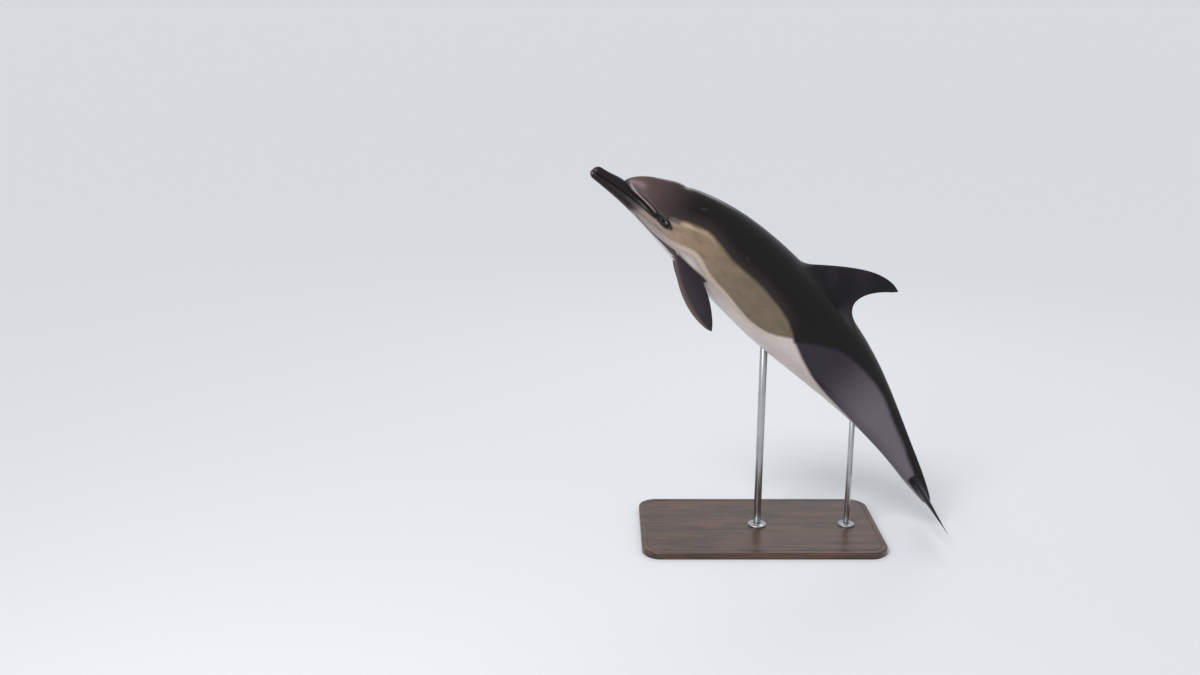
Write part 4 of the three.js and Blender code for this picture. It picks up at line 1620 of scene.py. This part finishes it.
@dataclass(frozen=True)
class EyeFinish:
    """A dark, wet eye: brown round a black pupil, darker towards its rim."""

    pupil: tuple = tone(6, 5, 7)
    iris: tuple = tone(52, 34, 24)
    iris_streak: tuple = tone(86, 58, 38)
    rim: tuple = tone(24, 18, 20)

    def make(self) -> bpy.types.Material:
        """Builds the material.

        Returns:
            The material.
        """
        p = Palette("dolphin_eye")
        gaze = p.attribute("gaze")
        streaks = p.noise(p.place(), 900, 3, 0.7)
        iris = p.blend(p.fade(streaks, 0.4, 0.7), self.iris, self.iris_streak)
        body = p.blend(p.fade(gaze, 0.19, 0.23), self.pupil, iris)
        body = p.blend(p.fade(gaze, 0.42, 0.5), body, self.rim)
        return p.finish(Base_Color=body, Roughness=0.08, Coat_Weight=1.0, Coat_Roughness=0.02, IOR=1.4)


@dataclass(frozen=True)
class WoodFinish:
    """Dark stained hardwood under satin varnish, with its grain along the board."""

    dark: tuple = tone(44, 26, 17)
    light: tuple = tone(92, 57, 36)
    pore: tuple = tone(24, 14, 10)

    def make(self) -> bpy.types.Material:
        """Builds the material.

        Returns:
            The material.
        """
        p = Palette("stand_walnut")
        flow = p.noise(p.place((1.1, 7, 7)), 1.6, 3, 0.55)
        offset = p.node("ShaderNodeCombineXYZ", {"Y": p.product(flow, 3.2), "Z": p.product(flow, 2.0)})
        inputs = {0: p.place((0.9, 14, 14)), 1: offset.outputs["Vector"]}
        warped = p.node("ShaderNodeVectorMath", inputs, operation="ADD")
        rings = p.noise(warped.outputs["Vector"], 2.4, 4, 0.55)
        body = p.blend(p.fade(rings, 0.3, 0.68), self.dark, self.light)
        fibre = p.noise(p.place((6, 420, 420)), 1.0, 3, 0.6)
        body = p.blend(p.fade(fibre, 0.35, 0.7, 0.0, 0.4), body, self.dark)
        pores = p.fade(p.noise(p.place((16, 700, 700)), 1.0, 2, 0.5), 0.66, 0.74)
        body = p.blend(p.product(pores, 0.7), body, self.pore)
        normal = p.bump(p.product(pores, -1.0), 0.0003, 0.35)
        rough = p.fade(fibre, 0.3, 0.7, 0.3, 0.42)
        return p.finish(Base_Color=body, Roughness=rough, Coat_Weight=0.3, Coat_Roughness=0.2, Normal=normal)


@dataclass(frozen=True)
class SteelFinish:
    """Brushed stainless steel, with its brush marks along or round the piece."""

    name: str
    brush: Triple  # fineness along each axis
    body: tuple = tone(186, 187, 190)
    dull: tuple = tone(150, 151, 156)

    def make(self) -> bpy.types.Material:
        """Builds the material.

        Returns:
            The material.
        """
        p = Palette(self.name)
        marks = p.noise(p.place(self.brush), 1.0, 4, 0.6)
        smears = p.noise(p.place(), 9, 3, 0.5)
        body = p.blend(p.fade(smears, 0.35, 0.75, 0.0, 0.6), self.body, self.dull)
        rough = p.maths("MULTIPLY_ADD", marks, 0.16, p.fade(smears, 0.3, 0.7, 0.2, 0.3))
        return p.finish(Base_Color=body, Metallic=1.0, Roughness=rough, Normal=p.bump(marks, 0.0001, 0.3))


# ---- Pieces ----


def add_object(name: str, data: bpy.types.ID) -> bpy.types.Object:
    """Puts a new object of a mesh, lamp or camera into the scene.

    Args:
        name: The object's name.
        data: Its mesh, lamp or camera.

    Returns:
        The object.
    """
    made = bpy.data.objects.new(name, data)
    bpy.context.scene.collection.objects.link(made)
    return made


def ring_faces(rings: int, count: int, closed: bool = False) -> Faces:
    """Quads between rings of points, one ring after another.

    Args:
        rings: How many rings there are.
        count: Points in a ring.
        closed: Whether one more band leads from the last ring to the first.

    Returns:
        The faces, which look outwards where the rings rise and run anticlockwise from above.
    """
    faces = []
    for r in range(rings if closed else rings - 1):
        this, after = r * count, (r + 1) % rings * count
        for c in range(count):
            d = (c + 1) % count
            faces.append((this + c, this + d, after + d, after + c))
    return faces


def capped_faces(rings: int, count: int) -> Faces:
    """Quads between rings of points, and a face over the first and the last ring."""
    ends = tuple(reversed(range(count))), tuple(range((rings - 1) * count, rings * count))
    return [*ring_faces(rings, count), *ends]


def add_piece(name: str, points: Array, faces: Faces, slot: Slot) -> bpy.types.Object:
    """Makes a smooth-shaded piece of a mesh, in metres, and lets it ride on the frame.

    Args:
        name: The piece's name.
        points: Its points in millimetres, in the frame's axes.
        faces: Its faces as point indices.
        slot: Not used.

    Returns:
        The piece.
    """
    mesh = bpy.data.meshes.new(name)
    mesh.from_pydata((np.asarray(points) * METRES).tolist(), [], [tuple(map(int, face)) for face in faces])
    mesh.polygons.foreach_set("use_smooth", [True] * len(mesh.polygons))
    mesh.update()
    piece = add_object(name, mesh)
    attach(piece, ROOT_BODY)
    return piece


def set_field(piece: bpy.types.Object, name: str, values: Array) -> None:
    """Stores a number for each point of a piece."""
    layer = piece.data.attributes.new(name, "FLOAT", "POINT")
    layer.data.foreach_set("value", np.asarray(values, np.float32))


def node_box(node: str) -> tuple[Array, Array]:
    """The lowest and highest corner of a node of the frame, in millimetres."""
    low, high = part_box(node)
    return np.array(low) / METRES, np.array(high) / METRES


class Side(Enum):
    """The two sides of the animal, with the sign that mirrors the left one."""

    LEFT = 1
    RIGHT = -1


@dataclass
class Eyeball:
    """A ball behind the lids, with a slightly raised cornea."""

    side: Side
    bands: int = 40
    meridians: int = 64
    cornea: Pair = (0.6, 0.5)  # height, and reach in radians
    pupil: Pair = (0.45, 0.4)  # how much wider than high it is, and how far out that holds, in radians
    finish: EyeFinish = EyeFinish()

    def build(self, relief: Relief) -> bpy.types.Object:
        """Makes the ball.

        Args:
            relief: The skin's form, for the way that the eye looks.

        Returns:
            The piece.
        """
        side_name = self.side.name.lower()
        low, high = node_box(f"eye_{side_name}")
        centre, radius = (low + high) / 2, float((high - low).min()) / 2
        place = relief.eye_place
        out = relief.form.normal(np.array(place[0]), np.radians(place[1])) * [1, self.side.value, 1]
        side = unit(np.cross(out, [0, 0, 1.0]))
        up = np.cross(side, out)
        polar = np.linspace(0, math.pi, self.bands + 1)[1:-1]
        round_ = np.arange(self.meridians) / self.meridians * 2 * math.pi
        rise, (oval, inner) = self.cornea[0], self.pupil
        reach = radius - rise + rise * swell(polar, self.cornea[1])
        ring = np.cos(round_)[:, None] * side + np.sin(round_)[:, None] * up
        points = np.cos(polar)[:, None, None] * out + np.sin(polar)[:, None, None] * ring[None]
        points = (points * reach[:, None, None]).reshape(-1, 3)
        points = centre + np.vstack([points, [out * radius], [-out * (radius - rise)]])
        rows, count = len(polar), self.meridians
        faces = [face[::-1] for face in ring_faces(rows, count)]
        front, rear = rows * count, rows * count + 1
        faces += [(front, c, (c + 1) % count) for c in range(count)]
        last = (rows - 1) * count
        faces += [(rear, last + (c + 1) % count, last + c) for c in range(count)]
        piece = add_piece(f"eyeball_{side_name}", points, faces, Slot.EYE)
        wide = np.concatenate([np.repeat(polar, count), [0.0, math.pi]])
        lift = np.concatenate([np.tile(np.abs(np.sin(round_)), rows), [0.0, 0.0]])
        set_field(piece, "gaze", wide * (1 + oval * lift * (wide < inner)))
        piece.data.materials.append(self.finish.make())
        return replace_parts(piece, f"eye_{side_name}")


@dataclass
class Dolphin:
    """The animal: one skin over all its nodes of flesh, and two eyeballs."""

    flesh: Sequence[str] = (
        "upper_beak", "lower_jaw", "head", "chest", "abdomen", "tail_stock", "dorsal_fin", "flipper_left",
        "flipper_right", "fluke_left", "fluke_right",
    )
    skin: Skin = field(default_factory=Skin)
    finish: SkinFinish = SkinFinish()

    def build(self) -> list[bpy.types.Object]:
        """Makes the skin and the eyes.

        Returns:
            The three pieces.
        """
        low, high = node_box("eye_left")
        points, faces, fields = self.skin.make((low + high) / 2, float((high - low).min()) / 2)
        piece = add_piece("dolphin_skin", points, faces, Slot.SKIN)
        marks = Markings(self.skin.relief)
        for name, values in marks.fields(**fields).items():
            set_field(piece, name, values)
        piece.data.materials.append(self.finish.make())
        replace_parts(piece, *self.flesh)
        return [piece] + [Eyeball(side).build(self.skin.relief) for side in Side]


def turned(profile: Knots, centre: Array, sides: int, ring: bool) -> tuple[Array, Faces]:
    """A body turned about an upright axis.

    Args:
        profile: (radius, height) points, from the bottom outwards and up.
        centre: Place of the axis.
        sides: Facets round it.
        ring: Whether the profile closes on itself, as round a hole. Otherwise its ends are capped.

    Returns:
        Points and faces.
    """
    around = np.arange(sides) / sides * 2 * math.pi
    x, y = centre[0], centre[1]
    points = [[x + r * math.cos(a), y + r * math.sin(a), z] for r, z in profile for a in around]
    faces = ring_faces(len(profile), sides, True) if ring else capped_faces(len(profile), sides)
    return np.array(points), faces


@dataclass
class Board:
    """The stand's base: a board with round corners, a rolled upper edge and a cut line inside it."""

    node: str = "stand_base"
    corner: float = 80.0
    roll: float = 4.0
    foot_chamfer: float = 1.2
    line_inset: float = 22.0
    line_breadth: float = 4.0
    line_depth: float = 1.6
    corner_steps: int = 20
    profile_steps: int = 6
    finish: WoodFinish = WoodFinish()

    def outline(self, half: Array, inset: float) -> Array:
        """A rectangle with round corners, drawn in by an inset.

        Args:
            half: Half-length and half-width of the board.
            inset: The inset.

        Returns:
            Points anticlockwise from above.
        """
        quarter, step = np.divmod(np.arange(4 * (self.corner_steps + 1)), self.corner_steps + 1)
        corners = (half - self.corner) * np.array([(1, 1), (-1, 1), (-1, -1), (1, -1)])
        angle = (quarter + step / self.corner_steps) * math.pi / 2
        return corners[quarter] + (self.corner - inset) * np.stack([np.cos(angle), np.sin(angle)], -1)

    def build(self) -> bpy.types.Object:
        """Makes the board.

        Returns:
            The piece.
        """
        low, high = node_box(self.node)
        half, middle, top = (high - low)[:2] / 2, (high + low)[:2] / 2, high[2]
        profile = [(self.foot_chamfer, low[2]), (0.0, low[2] + self.foot_chamfer)]
        shares = np.linspace(0, 1, self.profile_steps + 1)
        for angle in shares * math.pi / 2:
            profile.append((self.roll * (1 - math.cos(angle)), top - self.roll * (1 - math.sin(angle))))
        for share in shares:
            cut = self.line_depth * math.sin(math.pi * share)
            profile.append((self.line_inset + self.line_breadth * share, top - cut))
        rings = [np.insert(self.outline(half, inset) + middle, 2, z, axis=1) for inset, z in profile]
        faces = capped_faces(len(rings), len(rings[0]))
        piece = add_piece("stand_board", np.vstack(rings), faces, Slot.WOOD)
        for cap in (1, 2):
            piece.data.polygons[len(faces) - cap].use_smooth = False
        piece.data.materials.append(self.finish.make())
        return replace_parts(piece, self.node)


@dataclass
class Post:
    """A steel rod that holds the animal, in a turned flange that three screws fix to the board."""

    name: str
    sides: int = 72
    rod_chamfer: float = 1.0
    clearance: float = 0.4
    flange_chamfer: float = 1.2
    flange_neck: float = 3.0
    screws: int = 3
    screw_sides: int = 24
    screw_radius: float = 4.2
    screw_height: float = 1.0
    socket: Pair = (0.42, 0.9)  # half-width across its flats for the head's radius, and depth
    rod_finish: SteelFinish = SteelFinish("rod_steel", (260, 260, 6))
    flange_finish: SteelFinish = SteelFinish("flange_steel", (60, 60, 500))
    screw_finish: SteelFinish = SteelFinish("screw_steel", (300, 300, 300))

    def build(self) -> list[bpy.types.Object]:
        """Makes the rod, its flange and the screws.

        Returns:
            The three pieces.
        """
        low, high = node_box(f"stand_rod_{self.name}")
        centre, radius = (low + high) / 2, (high[0] - low[0]) / 2
        edge = self.rod_chamfer
        profile = [
            (radius - edge, low[2]), (radius, low[2] + edge),
            (radius, high[2] - edge), (radius - edge, high[2]),
        ]
        mesh = turned(profile, centre, self.sides, False)
        rod = add_piece(f"stand_post_{self.name}", *mesh, Slot.STEEL)
        rod.data.materials.append(self.rod_finish.make())
        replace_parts(rod, f"stand_rod_{self.name}")
        low, high = node_box(f"stand_flange_{self.name}")
        outer, inner = (high[0] - low[0]) / 2, radius + self.clearance
        edge, neck = self.flange_chamfer, self.flange_neck
        plate = high[2] - neck
        profile = [
            (inner, low[2]), (outer - edge * 0.4, low[2]), (outer, low[2] + edge * 0.4),
            (outer, plate - edge), (outer - edge, plate), (inner + 3 * neck, plate),
            (inner + 2.2 * neck, plate + 0.25 * neck), (inner + 1.6 * neck, high[2] - 0.4 * neck),
            (inner + neck, high[2]), (inner, high[2]),
        ]
        mesh = turned(profile, centre, self.sides, True)
        flange = add_piece(f"stand_collar_{self.name}", *mesh, Slot.STEEL)
        flange.data.materials.append(self.flange_finish.make())
        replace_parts(flange, f"stand_flange_{self.name}")
        ring = (inner + 3 * neck + outer) / 2
        screws = self.screw_ring(np.array([centre[0], centre[1], plate]), ring)
        return [rod, flange, screws]

    def screw(self) -> tuple[Array, Faces]:
        """A domed screw head with a six-sided socket.

        Returns:
            Points and faces, with the foot of the head at the origin.
        """
        sides, radius, height = self.screw_sides, self.screw_radius, self.screw_height
        profile = [
            (radius * 0.98, -0.3), (radius, 0.1), (radius * 0.86, height * 0.7), (radius * 0.62, height)
        ]
        points, faces = turned(profile, np.zeros(3), sides, False)
        angle = np.arange(sides) / sides * 2 * math.pi
        reach = radius * self.socket[0] / np.cos(angle % (math.pi / 3) - math.pi / 6)
        rim = np.stack([reach * np.cos(angle), reach * np.sin(angle), np.full(sides, height)], -1)
        last = len(points) - sides
        faces = faces[:-1] + [tuple(last + i for i in face) for face in ring_faces(3, sides)]
        faces.append(tuple(range(last + 2 * sides, last + 3 * sides)))
        return np.vstack([points, rim, rim - [0, 0, self.socket[1]]]), faces

    def screw_ring(self, centre: Array, radius: float) -> bpy.types.Object:
        """Sets copies of the screw round the rod with Geometry Nodes.

        Args:
            centre: Middle of the ring.
            radius: Its radius.

        Returns:
            The piece, as a plain mesh.
        """
        points, faces = self.screw()
        mesh = bpy.data.meshes.new("screw_pattern")
        mesh.from_pydata((points * METRES).tolist(), [], faces)
        pattern, tree = add_object("screw_pattern", mesh), ring_tree()
        modifier = pattern.modifiers.new("ring", "NODES")
        modifier.node_group = tree
        items = tree.interface.items_tree
        inputs = {item.name: item.identifier for item in items if item.in_out == "INPUT"}
        modifier[inputs["Count"]] = self.screws
        modifier[inputs["Radius"]] = radius * METRES
        modifier[inputs["Centre"]] = Vector(centre * METRES)
        modifier[inputs["Finish"]] = self.screw_finish.make()
        graph = bpy.context.evaluated_depsgraph_get()
        made = bpy.data.meshes.new_from_object(pattern.evaluated_get(graph))
        bpy.data.objects.remove(pattern)
        made.name = f"stand_screws_{self.name}"
        made.polygons.foreach_set("use_smooth", [False] * len(made.polygons))
        piece = add_object(made.name, made)
        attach(piece, ROOT_BODY)
        return piece


def ring_tree() -> bpy.types.NodeTree:
    """Builds the node tree that repeats a mesh round a circle.

    Returns:
        The tree, with inputs Count, Radius, Centre and Finish.
    """
    tree = bpy.data.node_groups.new("ring_of_screws", "GeometryNodeTree")
    for name, kind in (
        ("Geometry", "Geometry"), ("Count", "Int"), ("Radius", "Float"), ("Centre", "Vector"),
        ("Finish", "Material"),
    ):
        tree.interface.new_socket(name, in_out="INPUT", socket_type=f"NodeSocket{kind}")
    tree.interface.new_socket("Geometry", in_out="OUTPUT", socket_type="NodeSocketGeometry")
    nodes = Nodes(tree)
    given = nodes.node("NodeGroupInput", {}).outputs
    circle = nodes.node("GeometryNodeMeshCircle", {"Vertices": given["Count"], "Radius": given["Radius"]})
    inputs = {"Geometry": circle.outputs["Mesh"], "Offset": given["Centre"]}
    places = nodes.node("GeometryNodeSetPosition", inputs).outputs["Geometry"]
    inputs = {"Max": (0.0, 0.0, math.pi / 3), "Seed": SEED}
    spin = nodes.node("FunctionNodeRandomValue", inputs, data_type="FLOAT_VECTOR").outputs["Value"]
    inputs = {"Points": places, "Instance": given["Geometry"], "Rotation": spin}
    copies = nodes.node("GeometryNodeInstanceOnPoints", inputs).outputs["Instances"]
    real = nodes.node("GeometryNodeRealizeInstances", {"Geometry": copies}).outputs["Geometry"]
    paint = nodes.node("GeometryNodeSetMaterial", {"Geometry": real, "Material": given["Finish"]})
    nodes.node("NodeGroupOutput", {"Geometry": paint.outputs["Geometry"]})
    return tree


@dataclass
class DisplayStand:
    """The stand: its board and two posts."""

    board: Board = field(default_factory=Board)
    posts: Sequence[Post] = (Post("front"), Post("rear"))

    def build(self) -> list[bpy.types.Object]:
        """Makes every piece of the stand."""
        return [self.board.build()] + [piece for post in self.posts for piece in post.build()]


# ---- Studio ----


@dataclass(frozen=True)
class SoftLight:
    """A square area lamp that looks at a point."""

    name: str
    place: Triple
    aim: Triple
    size: float
    power: float
    colour: Triple = (1.0, 1.0, 1.0)

    def build(self) -> None:
        """Hangs the lamp."""
        data = bpy.data.lights.new(self.name, "AREA")
        data.size, data.energy, data.color = self.size, self.power, self.colour
        lamp = add_object(self.name, data)
        lamp.location = self.place
        lamp.rotation_euler = (Vector(self.aim) - Vector(self.place)).to_track_quat("-Z", "Y").to_euler()


@dataclass
class Studio:
    """A pale floor, soft lamps and the camera."""

    eye: Triple = (-0.698, -4.719, 2.231)
    pitch: float = 15.9  # degrees below the horizontal
    lens: float = 35.0
    sensor: float = 36.0
    floor_size: float = 3000.0
    floor_colour: tuple = tone(222, 224, 226)
    world_light: tuple = (0.545472, 0.562936, 0.586528, 1.0)
    backdrop: tuple = tone(214, 217, 221)
    sun_strength: float = 1.5
    sun_spread: float = 20.0  # degrees
    sun_turn: Triple = (38.0, 0.0, -42.0)  # degrees: tilt from overhead and turn about the vertical
    lamps: Sequence[SoftLight] = (
        SoftLight("key_lamp", (-2.4, -3.2, 2.6), (0.0, 0.0, 1.1), 1.6, 45),
        SoftLight("rim_lamp", (0.9, 3.0, 3.6), (0.0, 0.0, 1.1), 1.4, 18),
    )

    def build(self) -> None:
        """Sets up the floor, the lights, the world and the camera."""
        half = self.floor_size / 2
        mesh = bpy.data.meshes.new("studio_floor")
        corners = [(-half, -half, 0), (half, -half, 0), (half, half, 0), (-half, half, 0)]
        mesh.from_pydata(corners, [], [(0, 1, 2, 3)])
        add_object("studio_floor", mesh)
        p = Palette("studio_floor")
        mesh.materials.append(p.finish(Base_Color=self.floor_colour, Roughness=0.85))
        for lamp in self.lamps:
            lamp.build()
        sun = bpy.data.lights.new("sun_lamp", "SUN")
        sun.energy, sun.angle = self.sun_strength, math.radians(self.sun_spread)
        lamp = add_object("sun_lamp", sun)
        lamp.rotation_euler = [math.radians(angle) for angle in self.sun_turn]
        self.light_world()
        data = bpy.data.cameras.new("camera")
        data.lens, data.sensor_width = self.lens, self.sensor
        camera = add_object("camera", data)
        camera.location = self.eye
        camera.rotation_euler = (math.radians(90 - self.pitch), 0.0, 0.0)
        bpy.context.scene.camera = camera
        bpy.context.scene.view_settings.view_transform = "Standard"

    def light_world(self) -> None:
        """Lights the scene evenly from all round, before a backdrop as pale as the far floor."""
        world = bpy.data.worlds.new("studio")
        bpy.context.scene.world = world
        world.use_nodes = True
        nodes = Nodes(world.node_tree)
        rays, seen = nodes.node("ShaderNodeLightPath", {}).outputs, 0.0
        for kind in ("Is Camera Ray", "Is Glossy Ray", "Is Transmission Ray"):
            seen = nodes.maths("MAXIMUM", rays[kind], seen)
        colour = nodes.blend(seen, self.world_light, self.backdrop)
        world.node_tree.links.new(colour, world.node_tree.nodes["Background"].inputs["Color"])


def main() -> None:
    """Builds the studio, the animal and its stand over the frame."""
    logging.basicConfig(level=logging.INFO, format="%(name)s: %(message)s")
    Studio().build()
    for assembly in (Dolphin(), DisplayStand()):
        for piece in assembly.build():
            log.info("%s: %d faces", piece.name, len(piece.data.polygons))


if __name__ == "__main__":
    main()
